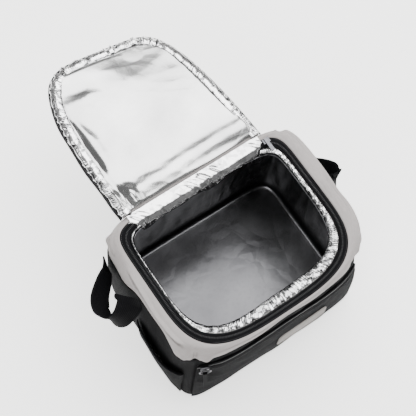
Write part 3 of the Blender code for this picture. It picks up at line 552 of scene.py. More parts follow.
def placeStudio():
    world = bpy.data.worlds.new("studio")
    bpy.context.scene.world = world
    world.use_nodes = True
    sky = world.node_tree.nodes["Background"].inputs
    sky["Color"].default_value = linearColour(studio["world"])
    sky["Strength"].default_value = studio["worldStrength"]
    for box in studio["boxes"]:
        placeLight(**box)
    paper = linearColour(studio["floor"])
    gloss = {"Roughness": 0.9, "Specular IOR Level": 0.1}
    glow = {"Base Color": paper, "Emission Color": paper, "Emission Strength": studio["floorGlow"]}
    material = startMaterial("paperFloor", {**gloss, **glow})[0]
    half = studio["floorHalf"]
    mesh = bpy.data.meshes.new("paperFloor")
    corners = [(-half, -half, 0), (half, -half, 0), (half, half, 0), (-half, half, 0)]
    mesh.from_pydata(corners, [], [(0, 1, 2, 3)])
    mesh.materials.append(material)
    floor = bpy.data.objects.new("paperFloor", mesh)
    bpy.context.scene.collection.objects.link(floor)


placeCamera()
placeStudio()
print("camera and studio placed")


# Black padded walls and floor
walls = {
    "around": 600,
    "rows": 64,
    "pinch": 0.0013,
    "pinchRun": 0.0035,
    "soft": 0.0012,
    "seamDeep": 0.0012,
    "seamWide": 0.0022,
}


def makeWalls():
    # outline at each height; under the seam the cloth pulls in, and an upright seam runs down each corner
    angles = stationsAround(walls["around"])[None]
    seam = seamHeight(angles) - bag["gap"] / 2
    base = wallAt(angles, 0.0, bag["round"])
    floor = base * np.array([0.02, 0.35, 0.7, 0.9])[:, None, None]
    turn = np.linspace(0, math.pi / 2, 7)[:, None]
    corner = wallAt(angles, bag["round"] * (1 - np.cos(turn)), bag["round"] * (1 - np.sin(turn)))
    share = np.linspace(0, 1, walls["rows"])[1:, None]
    height = bag["round"] + share * (seam - bag["round"])
    upright = wallAt(angles, height)
    width, depth, _ = wallSize(angles, height)
    cornerness = np.abs(upright[..., 0]) / (width / 2) - np.abs(upright[..., 1] + bag["lean"]) / (depth / 2)
    near = np.minimum(np.abs(upright[..., 0]) / (width / 2), np.abs(upright[..., 1]) / (depth / 2)) > 0.8
    seamLine = bell(cornerness * bag["bodyDepth"] / 2, 0, walls["seamWide"]) * near
    uneven = ripples(upright, 0.06, 11) * 0.5 + 0.5 * ripples(upright * [1, 1, 0.4], 0.03, 12)
    pull = walls["soft"] * (uneven - 1.0)
    pull = pull * fade(share, 0.0, 0.15) - walls["pinch"] * np.exp(-(seam - height) / walls["pinchRun"])
    pull = np.minimum(pull - walls["seamDeep"] * seamLine, 0)
    upright = pushed(upright, pull)
    inHeight = seam * np.linspace(1, 0.04, 14)[:, None]
    inside = wallAt(angles, inHeight, bag["wall"])
    inFloor = wallAt(angles, bag["wall"], bag["wall"] + bag["round"])
    inFloor = inFloor * np.array([1, 0.6, 0.02])[:, None, None]
    inFloor[..., 2] = bag["wall"]
    grid = np.concatenate([floor, corner, upright, inside, inFloor])
    made = makeSkin("wallCloth", grid, blackOxford, poles=True)
    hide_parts("body_shell")


makeWalls()
print("walls made")


# Grey yoke over the shoulders
yoke = {
    "around": 720,
    "rows": 44,
    "edge": 0.0022,
    "power": 2 / 3.1,
    "soft": 0.0009,
    "crushed": 0.0013,
    "gather": 0.0032,
    "pinch": 0.0014,
    "grooveDeep": 0.0080,
    "lip": 0.0036,
}

# Creases along the band: side, from and to along that side (shares of its half length),
# how far up the band at each end, half width as a share of the band, depth as a share of the groove's.
creaseRows = [
    {"side": "left", "start": 0.46, "end": -0.72, "low": 0.66, "high": 0.50, "wide": 0.050, "deep": 1.15},
    {"side": "left", "start": 0.95, "end": 0.62, "low": 0.40, "high": 0.30, "wide": 0.060, "deep": 0.5},
    {"side": "front", "start": -0.80, "end": -0.20, "low": 0.35, "high": 0.60, "wide": 0.070, "deep": 0.35},
    {"side": "right", "start": -0.65, "end": 0.10, "low": 0.62, "high": 0.66, "wide": 0.090, "deep": 0.4},
    {"side": "right", "start": 0.25, "end": 0.95, "low": 0.72, "high": 0.60, "wide": 0.100, "deep": 0.35},
]

# Lumps where the yoke's cloth is bunched at the corners: turn in degrees, push in metres, the rest as shares.
lumpRows = [
    {"turn": -149, "reach": 0.05, "up": 0.20, "tall": 0.16, "push": 0.0066},
    {"turn": -139, "reach": 0.045, "up": 0.14, "tall": 0.13, "push": 0.0055},
    {"turn": -144, "reach": 0.02, "up": 0.26, "tall": 0.20, "push": -0.0058},
    {"turn": -32, "reach": 0.06, "up": 0.18, "tall": 0.14, "push": 0.0030},
    {"turn": -42, "reach": 0.03, "up": 0.20, "tall": 0.18, "push": -0.0030},
    {"turn": 144, "reach": 0.05, "up": 0.25, "tall": 0.20, "push": 0.0020},
    {"turn": 36, "reach": 0.05, "up": 0.30, "tall": 0.25, "push": -0.0025},
]


def bandRelief(points, place):
    # each crease is a bell-shaped groove with a lip above it, fading at its ends
    x, y = points[..., 0] / (bag["bodyWidth"] / 2), points[..., 1] / (bag["bodyDepth"] / 2)
    sides = {"left": (-x, y), "right": (x, y), "front": (-y, x), "back": (y, x)}
    relief = np.zeros(points.shape[:2])
    for row in creaseRows:
        facing, along = sides[row["side"]]
        share = (along - row["start"]) / (row["end"] - row["start"])
        middle = row["low"] + (row["high"] - row["low"]) * np.clip(share, 0, 1) + 0.02 * np.sin(9 * share)
        there = fade(share, 0, 0.35) * fade(share, 1.0, 0.86) * fade(facing, 0.55, 0.75) * row["deep"]
        relief -= there * yoke["grooveDeep"] * bell(place, middle, row["wide"])
        relief += there * yoke["lip"] * bell(place, middle + 2.2 * row["wide"], 1.6 * row["wide"])
    angles = np.arctan2(points[..., 1], points[..., 0])
    for row in lumpRows:
        there = bell(angles, math.radians(row["turn"]), row["reach"])
        relief += row["push"] * there * bell(place, row["up"], row["tall"])
    return relief


def makeYoke():
    # from the seam up and over in a rounded quarter, thick at the seam and thin at the mouth
    angles = stationsAround(yoke["around"])[None]
    place = np.linspace(0, 1, yoke["rows"])[:, None]
    rise = np.sin(math.pi / 2 * place) ** yoke["power"]
    inward = 1 - np.cos(math.pi / 2 * place) ** yoke["power"]
    outer = shoulderAt(angles, rise, inward, 0.0, 0.0, 0.0)
    pull = bandRelief(outer, place)
    x, y = np.abs(outer[..., 0]) / (bag["bodyWidth"] / 2), np.abs(outer[..., 1]) / (bag["bodyDepth"] / 2)
    corner = fade(np.minimum(x, y), 0.72, 0.9)
    pull += yoke["soft"] * ripples(outer, 0.055, 21) + yoke["crushed"] * corner * crumple(outer, 0.03, 22)
    pull += yoke["gather"] * corner * bell(place, 0.16, 0.15) * np.sin(angles * 38)
    pull -= yoke["pinch"] * np.exp(-place / 0.045)
    pull *= fade(place, 1.0, 0.9)
    outer = pushed(outer, pull)
    inset = bag["wall"] - (bag["wall"] - yoke["edge"]) * inward
    drop = yoke["edge"] * inward + 0.5 * bag["wall"] * (1 - inward) * rise
    inner = shoulderAt(angles, rise, inward, inset, 0.0, drop)[::-4]
    grid = np.concatenate([outer, inner])
    grid[[0, -1], :, 2] += bag["gap"] / 2
    made = makeSkin("yokeCloth", grid, greyMelange)
    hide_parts("yoke")


makeYoke()
print("yoke made")


# Foil lining, seen inside
lining = {"around": 480, "wallRows": 44, "fold": 0.0022, "crease": 0.0008, "pleat": 0.004, "floor": 0.0009}


def makeLining():
    # the face seen from inside, from the binding down the wall and over the floor
    angles = stationsAround(lining["around"])[None]
    seam = seamHeight(angles)
    reach = bag["tapeWidth"] + 2 * bag["gap"] + bindingWidth(angles)
    inset = bag["wall"] + 2 * bag["seat"] + bag["foil"]
    drop = 0.0016 + 2 * yoke["edge"] + bag["foil"]
    place = np.linspace(1, 0, 14)[:-1, None]
    rise = np.interp(place, [0, 0.45, 0.8, 1], [0, 0.45, 0.82, 1.0])
    under = shoulderAt(angles, rise, place**2.6, inset, reach, drop * place)
    low = bag["wall"] + bag["seat"] + bag["foil"]
    height = low + bag["round"] + np.linspace(1, 0, lining["wallRows"])[:, None] * (seam - low - bag["round"])
    upright = wallAt(angles, height, inset)
    turn = np.linspace(0, math.pi / 2, 6)[1:, None]
    fromWall = inset + bag["round"] * (1 - np.cos(turn))
    corner = wallAt(angles, low + bag["round"] * (1 - np.sin(turn)), fromWall)
    floor = corner[-1:] * np.linspace(0.97, 0.02, 26)[:, None, None]
    floor[..., 2] = low
    visible = np.concatenate([under, upright, corner, floor])
    x, y, z = np.moveaxis(visible, -1, 0)
    wallness = fade(z, 0.012, 0.05) * fade(z, bag["rim"] - 0.004, bag["rim"] - 0.022)
    cornerFold = bell(x, 0.135, 0.03) * bell(y, 0.09, 0.03)
    stretched = visible * [1, 1, 0.35]
    bulge = lining["fold"] * (0.5 + 0.5 * ripples(stretched, 0.05, 31))
    bulge = bulge + lining["crease"] * (0.5 + crumple(stretched, 0.03, 32))
    pleats = cornerFold * wallness * lining["pleat"] * (0.5 + 0.5 * np.sin(130 * (x - y)))
    bulge = wallness * np.maximum(bulge, 0) + pleats
    flat = (1 - fade(z, 0.006, 0.02)) * lining["floor"] * (0.6 + ripples(visible, 0.10, 33) * 0.8)
    visible = pushed(visible, np.maximum(bulge + flat, 0))
    made = makeSkin("liningFoil", twoFaced(visible, bag["foil"] * 0.7, True), shadedLiningFilm, poles=True)
    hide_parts("liner")


makeLining()
print("lining made")


# Zip round the mouth; the coil stands at a share of the tape's width
zipSizes = {
    "crown": 0.0006,
    "hollow": 0.0005,
    "tooth": (0.0026, 0.0011, 0.0012),
    "pitch": 0.0019,
    "coil": 0.62,
}

# Spacing of the stitches, and each stitch's length, width and height
threads = {
    "tape": {"spacing": 0.0028, "size": (0.002, 0.0006, 0.0005), "material": blackThread},
    "foil": {"spacing": 0.0036, "size": (0.0024, 0.0005, 0.0005), "material": greyThread},
    "hinge": {"spacing": 0.0036, "size": (0.0024, 0.0006, 0.0005), "material": greyThread},
    "cloth": {"spacing": 0.0034, "size": (0.0024, 0.0006, 0.0006), "material": blackThread},
}


def makeMouthTape():
    # a crowned strip of tape with a stitched line, and the coil's teeth standing on its inner half
    angles = openAngles(700)[None]
    share = np.linspace(0, 1, 9)[:, None]
    across = bag["gap"] + share * (bag["tapeWidth"] - bag["gap"])
    top = mouthAt(angles, across, -zipSizes["crown"] * np.sin(math.pi * share))
    top = top + [0, 0, 0.0004] * np.stack([ripples(top, 0.04, 41)] * 3, -1)
    below = mouthAt(angles, across, bag["tapeThick"] - zipSizes["hollow"] * np.sin(math.pi * share))
    made = makeStrip("mouthTape", top, below, zipCloth)
    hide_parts("mouth_zip_tape")
    line = mouthAt(angles[0], zipSizes["coil"] * bag["tapeWidth"], -0.0011)
    run, along = spaced(line, zipSizes["pitch"])
    inward = np.cross([0, 0, 1], along)
    teeth = makeBeads("mouthTeeth", run, inward, upward(along), zipSizes["tooth"], blackNylon)
    thread = sew("mouthStitches", mouthAt(angles[0], 0.0016, -0.0004), **threads["tape"])


makeMouthTape()


# Foil bindings and the flap over the hinge
# pitch and height of their gathers, the crown of the roll, the film, and how far it folds past the lid's edge
gathers = {
    "mouthPitch": 0.007,
    "mouthHigh": 0.0034,
    "lidPitch": 0.0085,
    "lidHigh": 0.0036,
    "crown": 0.0016,
    "film": 0.0009,
    "over": 0.0013,
}


def gatherWaves(length, across, pitch, seed):
    # folds that cross the band: flat-faced zigzags along it, their pitch, slant and height drifting
    drift = 2.1 * np.sin(length / 0.0121 + seed) + 1.7 * np.sin(length / 0.0293 + 2 * seed)
    drift = drift + across * (0.8 + 1.9 * np.sin(length / 0.0173 + seed))
    main = 2 / math.pi * np.arcsin(np.sin(2 * math.pi * length / (1.7 * pitch) + drift))
    fine = 1 - 2 * np.abs(np.sin(math.pi * length / (0.43 * pitch) - 1.3 * drift + seed))
    strength = 0.62 + 0.38 * np.sin(length / 0.0087 + 3 * seed) * np.sin(length / 0.019 + seed)
    return (0.72 * main + 0.28 * fine) * strength


def runLength(run):
    return np.concatenate([[0], np.cumsum(np.linalg.norm(np.diff(run, axis=0), axis=1))])[None]


def makeMouthBinding():
    # a low roll of foil inside the tape: smooth beside the tape, gathered over its crown
    angles = openAngles(1500)[None]
    share = np.linspace(0, 1, 17)[:, None]
    width = bindingWidth(angles)
    start = bag["tapeWidth"] + 2 * bag["gap"]
    length = runLength(mouthAt(angles[0], start))
    wide = fade(width, 0.004, 0.012)
    waves = gatherWaves(length, share, gathers["mouthPitch"], 1.0) * (0.35 + 0.65 * wide)
    lift = gathers["crown"] * np.interp(share, [0, 0.2, 0.55, 0.85, 1], [0.1, 1.0, 1.5, 0.4, -0.9])
    lift = lift + gathers["mouthHigh"] * waves * fade(share, 0.05, 0.45) * (0.55 + 0.45 * wide)
    top = mouthAt(angles, start + share * width, -lift)
    below = mouthAt(angles, start + share * width * 0.97, -lift + gathers["film"])
    made = makeStrip("mouthBinding", top, below, crinkledFilm)
    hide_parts("mouth_binding")
    line = mouthAt(openAngles(700), start + 0.0012, -0.0013)
    thread = sew("bindingStitches", line, **threads["foil"])


makeMouthBinding()
print("mouth made")


# Lid, from its hinge line back
lid = {
    "width": 0.209,
    "length": 0.220,
    "taper": 0.10,
    "skew": 0.014,
    "tilt": 0.07,
    "thick": 0.006,
    "bow": 0.004,
    "droop": 0.022,
    "left": 4.0,
    "right": 7.0,
    "binding": 0.013,
    "tapeDrop": 0.010,
}


def hingeLine():
    # behind the yoke's back, at the height of the lid's padding
    angles = stationsAround(600)
    top = bag["rim"] + bag["gap"]
    back = []
    for rise, inward in ((0, 0), (0.45, 0.03), (0.76, 0.15), (0.93, 0.38), (1, 0.7), (1, 1)):
        points = shoulderAt(angles, rise, inward, 0.0, 0.0, 0.0)
        near = points[points[:, 1] > 0.25 * bag["baseDepth"]]
        if near[:, 2].max() > top - lid["thick"] - bag["gap"]:
            back.append(near[:, 1].max())
    return max(back) + bag["gap"], top


hingeY, lidTop = hingeLine()


def lidOutline(countRound, countHinge):
    # a U, |x/a|^p + |s/b|^p = 1, from its right hinge end to its left, then back along the hinge
    turn = np.linspace(0, math.pi, countRound)
    power = np.where(np.cos(turn) > 0, lid["right"], lid["left"])
    half, length = lid["width"] / 2, lid["length"]
    radius = (np.abs(np.cos(turn) / half) ** power + np.abs(np.sin(turn) / length) ** power) ** (-1 / power)
    x, s = radius * np.cos(turn), radius * np.sin(turn)
    hinge = np.linspace(-half, half, countHinge + 2)[1:-1]
    return np.concatenate([x, hinge]), np.concatenate([s, np.zeros(countHinge)])


def lidAt(x, s, lift):
    # tapered, skewed and drooping towards its far right corner
    far, half = s / lid["length"], lid["width"] / 2
    right = 0.5 + 0.5 * x / half
    z = lidTop + lid["bow"] * np.sin(math.pi * np.clip(far, 0, 1)) - lid["droop"] * far**2 * right + lift
    y = hingeY + s * (1 - lid["tilt"] * (right - 0.5) * far)
    return np.stack([x * (1 - lid["taper"] * far**2) - lid["skew"] * far, y, z], -1)


def drawnIn(scales, counts=(420, 140)):
    # the outline drawn in towards the lid's middle, one loop for each scale
    x, s = lidOutline(*counts)
    middle = lid["length"] / 2
    scales = np.asarray(scales)[:, None]
    return x * scales, middle + (s - middle) * scales


def lidLoops(scales, lifts, counts=(420, 140)):
    return lidAt(*drawnIn(scales, counts), np.asarray(lifts)[:, None])


# The lid's film: its mean height, and the heights of its waves, creases, roll, ridge and trough
film = {
    "high": 0.0024,
    "wave": 0.0019,
    "crease": 0.0003,
    "roll": 0.0054,
    "rollAt": 0.021,
    "rollWide": 0.012,
    "ridge": 0.0040,
    "trough": 0.0030,
}


def makeLidFoil():
    # almost flat film: broad soft waves, faint creases, a bell-shaped roll beside the hinge,
    # and down the left edge a trough beside the binding with a ridge inside it
    scales = np.concatenate([np.linspace(0.975, 0.8, 22), np.linspace(0.78, 0.02, 40)])
    flatX, flatS = drawnIn(scales)
    place = np.stack([flatX, flatS, 0 * flatX], -1)
    edge = np.minimum(1 - np.abs(flatX) / (lid["width"] / 2), 1 - flatS / lid["length"]) * lid["width"] / 2
    lift = film["high"] + film["wave"] * ripples(place, 0.09, 51)
    lift = lift + film["crease"] * crumple(place * [0.6, 1.4, 1], 0.06, 52)
    wavy = 0.0016 * np.sin(flatX / 0.027) + 0.0005 * np.sin(flatX / 0.0083 + 1)
    lift = lift + film["roll"] * bell(flatS, film["rollAt"] + wavy, film["rollWide"])
    patchy = np.clip(0.75 + 0.6 * ripples(place, 0.042, 53), 0.1, 1.3)
    patchy = patchy * fade(flatS, 0.185, 0.16) * fade(-flatX, 0.02, 0.05)
    beside = film["ridge"] * bell(edge, 0.027, 0.008) - film["trough"] * bell(edge, 0.0155, 0.005)
    lift = lift + beside * patchy
    lift = np.maximum(lift, 0.0006) * fade(edge, 0.002, 0.009) * fade(flatS, -0.002, 0.006)
    top = lidAt(flatX, flatS, bag["gap"] + bag["foil"] + lift)
    below = lidLoops([0.02, 0.4, 0.8, 0.97], [bag["gap"]] * 4)
    made = makeSkin("lidFoil", np.concatenate([below, top]), lidFilm, poles=True)
    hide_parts("lid_foil")


def lidRun(inset, lift, count=900):
    x, s = lidOutline(count, 0)
    half, length = lid["width"] / 2, lid["length"]
    return lidAt(x * (half - inset) / half, s * (length - inset) / length, lift)


def makeLidBinding():
    # gathered foil folded over the lid's edge: tight puckers at the far edge, long ones at the sides
    share = np.linspace(0, 1, 17)[:, None]
    length = runLength(lidRun(0.0, 0.0))
    far = lidOutline(900, 0)[1][None] / lid["length"]
    waves = gatherWaves(length, share, gathers["lidPitch"], 2.0)
    pucker = 0.45 + 0.75 * fade(far, 0.75, 0.98)
    crown = np.interp(share, [0, 0.1, 0.5, 0.9, 1], [-0.6, 0.8, 1.9, 1.6, 0.6])
    gathered = np.interp(share, [0, 0.15, 0.6, 1], [0.5, 1, 0.9, 0.3])
    lift = 2 * bag["gap"] + bag["foil"] + gathers["crown"] * crown
    lift = lift + gathers["lidHigh"] * pucker * (waves * 0.5 + 0.3) * gathered
    over = gathers["over"]
    inset = -over + share * (lid["binding"] + over)
    inset = inset - 0.0028 * pucker * waves * (1 - share) - 0.0012 * pucker * waves * share
    top = lidRun(inset, lift)
    below = lidRun(inset, lift - gathers["film"])
    made = makeStrip("lidBinding", top, below, crinkledFilm)
    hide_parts("lid_binding")
    for name, inset in (("lidStitchesOuter", 0.0045), ("lidStitchesInner", 0.0105)):
        row = int(round((inset + over) / (lid["binding"] + over) * 16))
        thread = sew(name, top[row] + [0, 0, 0.0003], **threads["foil"])


def makeLidTape():
    # zip tape hanging from the lid's edge, waved a little, its teeth along the lower edge
    count = 600
    far = lidOutline(count, 0)[1][None]
    drop = lid["thick"] + (lid["tapeDrop"] - lid["thick"]) * np.clip(far / (2 * lid["tapeDrop"]), 0, 1)
    share = np.linspace(0, 1, 10)[:, None]
    wave = 0.0006 * np.sin(runLength(lidRun(0.0, 0.0, count)) / 0.011) * share
    outside = -bag["gap"] - bag["tapeThick"] * (1 + share) - wave
    level = bag["foil"] - share * (drop + bag["foil"])
    outer = lidRun(outside, level, count)
    inner = lidRun(np.minimum(outside + 0.001, -bag["gap"]), level, count)
    made = makeSkin("lidTape", np.concatenate([outer[::-1], inner]), zipCloth, closed=False)
    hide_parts("lid_zip_tape")
    run, along = spaced(outer[7], zipSizes["pitch"])
    out, size = outward(along), (0.0026, 0.0011, 0.0011)
    teeth = makeBeads("lidTeeth", run + out * 0.0005, upward(along), out, size, blackNylon)


# The lid's padding: what swells it, for how long, and how far it may move
padSizes = {"pressure": 4.0, "frames": 20, "cap": 0.003}


def makeLidPad():
    # grey cloth over foam, a crowned closed form; the swelling is simulated and capped
    edge = 0.0024
    inner = 1 - 2 * edge / lid["width"]
    scales = np.concatenate([np.linspace(0.02, inner, 24), [1.0, 1.0], np.linspace(inner, 0.02, 14)])
    lifts = np.concatenate([np.full(24, -lid["thick"]), [edge - lid["thick"], -0.3 * edge], np.zeros(14)])
    grid = lidLoops(scales, lifts, (220, 80))
    made = makeSkin("lidPad", grid, greyMelange, poles=True)
    swell(made)
    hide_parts("lid_cover")


def swell(made):
    # cloth with pressure and no gravity for a few frames; each point may move down and out by the cap only
    scene = bpy.context.scene
    before = np.empty(len(made.data.vertices) * 3)
    made.data.vertices.foreach_get("co", before)
    before = before.reshape(-1, 3)
    cloth = made.modifiers.new("swelling", "CLOTH")
    cloth.settings.use_pressure = True
    cloth.settings.uniform_pressure_force = padSizes["pressure"]
    cloth.settings.effector_weights.gravity = 0.0
    cloth.settings.tension_stiffness = 20
    cloth.settings.bending_stiffness = 2
    cloth.settings.quality = 4
    cloth.point_cache.frame_start = 1
    cloth.point_cache.frame_end = padSizes["frames"]
    for number in range(1, padSizes["frames"] + 1):
        scene.frame_set(number)
    solved = made.evaluated_get(bpy.context.evaluated_depsgraph_get())
    after = np.empty(len(before) * 3)
    solved.data.vertices.foreach_get("co", after)
    made.modifiers.remove(cloth)
    scene.frame_set(1)
    move = np.nan_to_num(after.reshape(-1, 3) - before)
    move[:, 2] = np.clip(move[:, 2], -padSizes["cap"], 0)
    move[:, :2] = np.clip(move[:, :2], -0.0002, 0.0002)
    made.data.vertices.foreach_set("co", (before + move).ravel())
    made.data.update()


# The hinge flap: heights of its broad and fine pleats, and how far its front edge hangs
flap = {"pleat": 0.0011, "fine": 0.0004, "droop": 0.0035}


def makeHingeFlap():
    # foil over the hinge, from its drooping front edge inside the bag to the stitched line on the lid:
    # slanted pleats and a front edge cut in uneven points
    back = mouthAt(np.array([math.pi / 2]), 0.0)[0, 1]
    start = back - bag["tapeWidth"] - 2 * bag["gap"] - 0.0035
    across = np.linspace(-1, 1, 360)[None]
    share = np.linspace(0, 1, 30)[:, None]
    half = bag["hingeWidth"] / 2 - 2 * bag["tapeThick"] - bag["seat"]
    insets = np.linspace(0, 0.0147, 8)
    tapeEnd = np.array([abs(mouthAt(openAngles(700)[:1], inset)[0, 0]) for inset in insets])
    y = start - 0.0008 + share * (hingeY - bag["gap"] - start + 0.0008)
    limit = np.interp(np.clip(back - y, 0, insets[-1]), insets, tapeEnd)
    x = across * (np.minimum(half, limit) - bag["seat"])
    z = bag["rim"] + np.interp(share, [0, 0.12, 0.3, 0.6, 1.0], [-0.0044, -0.0012, 0.0006, 0.0012, 0.0006])
    slant = x + 0.9 * (y - start)
    folds = 1 - 2 * np.abs(np.sin(slant / 0.0075 + 0.8 * np.sin(x / 0.023)))
    fine = 1 - 2 * np.abs(np.sin(slant / 0.0031 - 0.5 * np.sin(x / 0.011)))
    strength = (0.6 + 0.4 * np.sin(x / 0.017 + 1)) * fade(share, 1.0, 0.7)
    z = z + (flap["pleat"] * folds + flap["fine"] * fine + 0.0006) * strength
    cut = flap["droop"] + flap["droop"] * np.sin(x / 0.0105) * np.sin(x / 0.037 + 1)
    droop = (1 - fade(share, 0.0, 0.35)) * cut
    top = np.stack([x + 0 * y, y + 0 * x - 0.4 * droop, z - droop], -1)
    made = makeSkin("hingeFlap", twoFaced(top[::-1], gathers["film"], False), pleatedFilm, closed=False)
    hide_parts("hinge_foil")
    thread = sew("hingeStitches", top[-3] + [0, 0, 0.0002], **threads["hinge"])


makeLidPad()
print("lid pad made")
makeLidFoil()
makeLidBinding()
makeLidTape()
makeHingeFlap()
print("lid made")


# Webbing handles
handleRows = np.array(
    [
        # out, along, rise, then the way across the webbing: to out, to front, to up
        [0.00, 0.00, 0.00, 0.00, 0.10, -1.00],
        [0.10, 0.14, 0.00, -0.10, 0.20, -1.00],
        [0.42, 0.30, -0.03, -0.40, 0.25, -0.85],
        [0.80, 0.50, -0.10, -0.60, 0.20, -0.76],
        [1.00, 0.70, -0.18, -0.58, 0.16, -0.78],
        [0.98, 0.90, -0.22, -0.25, 0.30, -0.90],
        [0.74, 0.98, -0.12, 0.05, 0.50, -0.85],
        [0.36, 0.90, 0.08, 0.05, 0.80, -0.55],
        [0.00, 0.76, 0.24, 0.00, 1.00, 0.00],
    ]
)
handles = {
    "left": {"side": -1, "back": 0.084, "reach": 0.040, "span": 0.077, "delay": 1.0},
    "right": {"side": 1, "back": 0.067, "reach": 0.022, "span": 0.063, "delay": 3.0},
}
webbing = {"width": 0.035, "thick": 0.0022, "height": 0.152, "clear": 0.0009}


def smoothTable(table, count):
    # Catmull-Rom curve through the rows
    place = np.linspace(0, len(table) - 1, count)
    before = np.clip(np.floor(place).astype(int), 0, len(table) - 2)
    t = (place - before)[:, None]
    p0, p1 = table[np.maximum(before - 1, 0)], table[before]
    p2, p3 = table[before + 1], table[np.minimum(before + 2, len(table) - 1)]
    squared, cubed = 2 * p0 - 5 * p1 + 4 * p2 - p3, 3 * p1 - p0 - 3 * p2 + p3
    return 0.5 * (2 * p1 + (p2 - p0) * t + squared * t**2 + cubed * t**3)


def sideX(side, y, z):
    # how far out the side wall stands at each place: its outline there, walked by y
    angles = np.linspace(-1.2, 1.2, 160) + (math.pi if side < 0 else 0)
    points = wallAt(angles, np.asarray(z)[:, None])
    found = []
    for row, goal in zip(points, np.asarray(y)):
        order = np.argsort(row[:, 1])
        found.append(np.interp(goal, row[order, 1], row[order, 0]))
    return np.array(found)


def makeHandle(name, node, side, back, reach, span, delay):
    # a flat ribbon that twists as it loops out, carried along a smooth route off the wall
    read = smoothTable(handleRows, 121)
    share = np.clip(read[:, 0], 0, 1)
    y = back - read[:, 1] * span
    z = webbing["height"] + read[:, 2] * webbing["width"]
    centre = np.stack([sideX(side, y, z) + side * reach * share**delay, y, z], -1)
    lean = read[:, 3] * (reach / handles["left"]["reach"]) * share ** (delay - 1)
    across = np.stack([side * lean, -read[:, 4], read[:, 5]], -1)
    tangent = np.gradient(centre, axis=0)
    tangent /= np.linalg.norm(tangent, axis=1, keepdims=True)
    across -= np.sum(across * tangent, axis=1, keepdims=True) * tangent
    across /= np.linalg.norm(across, axis=1, keepdims=True)
    normal = np.cross(tangent, across)
    wide = np.concatenate([np.linspace(-1, 1, 21), np.linspace(1, -1, 21)])
    deep = np.concatenate([np.full(21, -1.0), np.full(21, 1.0)]) * (1 - 0.55 * (np.abs(wide) > 0.99))
    runs = centre[None] + 0.5 * wide[:, None, None] * webbing["width"] * across[None]
    runs = runs + (0.5 * deep * webbing["thick"])[:, None, None] * normal[None]
    clear = np.array([side * (run[:, 0] - sideX(side, run[:, 1], run[:, 2])) for run in runs])
    runs[:, :, 0] += side * np.maximum(webbing["clear"] - clear.min(axis=0), 0)[None]
    if np.sum(np.cross(runs[10, 61] - runs[10, 60], runs[11, 60] - runs[10, 60]) * normal[60]) > 0:
        runs = runs[::-1]
    made = makeSkin(name, runs, strapWebbing, closed=False)
    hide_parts(node)


makeHandle("handleLeft", "handle_left", **handles["left"])
makeHandle("handleRight", "handle_right", **handles["right"])
print("handles made")


# Pockets, patch and the pocket's zip
pocket = {
    "width": 0.254,
    "low": 0.010,
    "top": 0.83,
    "bulge": 0.003,
    "cloth": 0.002,
    "zip": 0.009,
    "hem": 0.0006,
    "groove": 0.0009,
    "fold": 0.0007,
    "crease": 0.0004,
    "thin": 0.0008,
    "rows": 70,
}
patch = {"width": 0.074, "height": 0.048, "x": 0.028, "z": 0.090, "thick": 0.0012}
slip = {
    "length": 0.092,
    "height": 0.112,
    "middle": -0.042,
    "bulge": 0.007,
    "hem": 0.008,
    "hemHigh": 0.0009,
    "stitched": 0.0065,
    "fold": 0.0009,
}


def wallStretch(side, low, high, height, count):
    # angles spread evenly in place from one spot to another along the left or front wall
    axis, start = (0, math.pi) if side == "front" else (1, math.pi / 2)
    angles = np.linspace(start, start + math.pi, 900)
    place = wallAt(angles, height)[:, axis]
    order = np.argsort(place)
    return np.sort(np.interp(np.linspace(low, high, count), place[order], angles[order]))


def pocketPuff(points, angles):
    top = pocket["top"] * seamHeight(angles)
    across = np.clip(1 - (2 * points[..., 0] / pocket["width"]) ** 4, 0, 1)
    up = np.clip((points[..., 2] - pocket["low"]) / (top - pocket["low"]), 0, 1)
    return pocket["cloth"] + pocket["bulge"] * across * np.sin(math.pi * up) ** 0.7


def makeFrontPocket():
    # a panel lying off the front wall, puffed out over its middle, hemmed along the zip
    half = pocket["width"] / 2
    angles = wallStretch("front", -half, half, bag["rim"] / 2, 200)[None]
    seam = seamHeight(angles) - bag["gap"] / 2
    share = np.linspace(0, 1, pocket["rows"])[:, None]
    height = pocket["low"] + share * (pocket["top"] * seam - pocket["low"])
    base = wallAt(angles, height)
    off = bag["seat"] + pocketPuff(base, angles)
    hem = pocket["hem"] * bell(share, 0.955, 0.02) - pocket["groove"] * bell(share, 0.925, 0.008)
    edge = fade(np.abs(base[..., 0]), half, half - 0.004)
    fold = pocket["fold"] * ripples(base * [1, 1, 2.2], 0.07, 61) + pocket["crease"] * crumple(base, 0.05, 62)
    off = np.maximum(off + (fold + hem) * edge * fade(share, 0.0, 0.05), bag["seat"] + pocket["thin"])
    outer = wallAt(angles, height, -off)
    inner = wallAt(angles, height, -bag["seat"])
    made = makeStrip("frontPocket", outer, inner, blackOxford)
    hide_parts("front_pocket")
    spacing, size, material = threads["cloth"].values()
    last = pocket["rows"] - 1
    lines = [spaced(outer[int(place * last), 3:-3], spacing) for place in (0.905, 0.035)]
    run, along = (np.concatenate(parts) for parts in zip(*lines))
    out = outward(along)
    thread = makeBeads("pocketStitches", run + out * 0.0001, along, out, size, material)


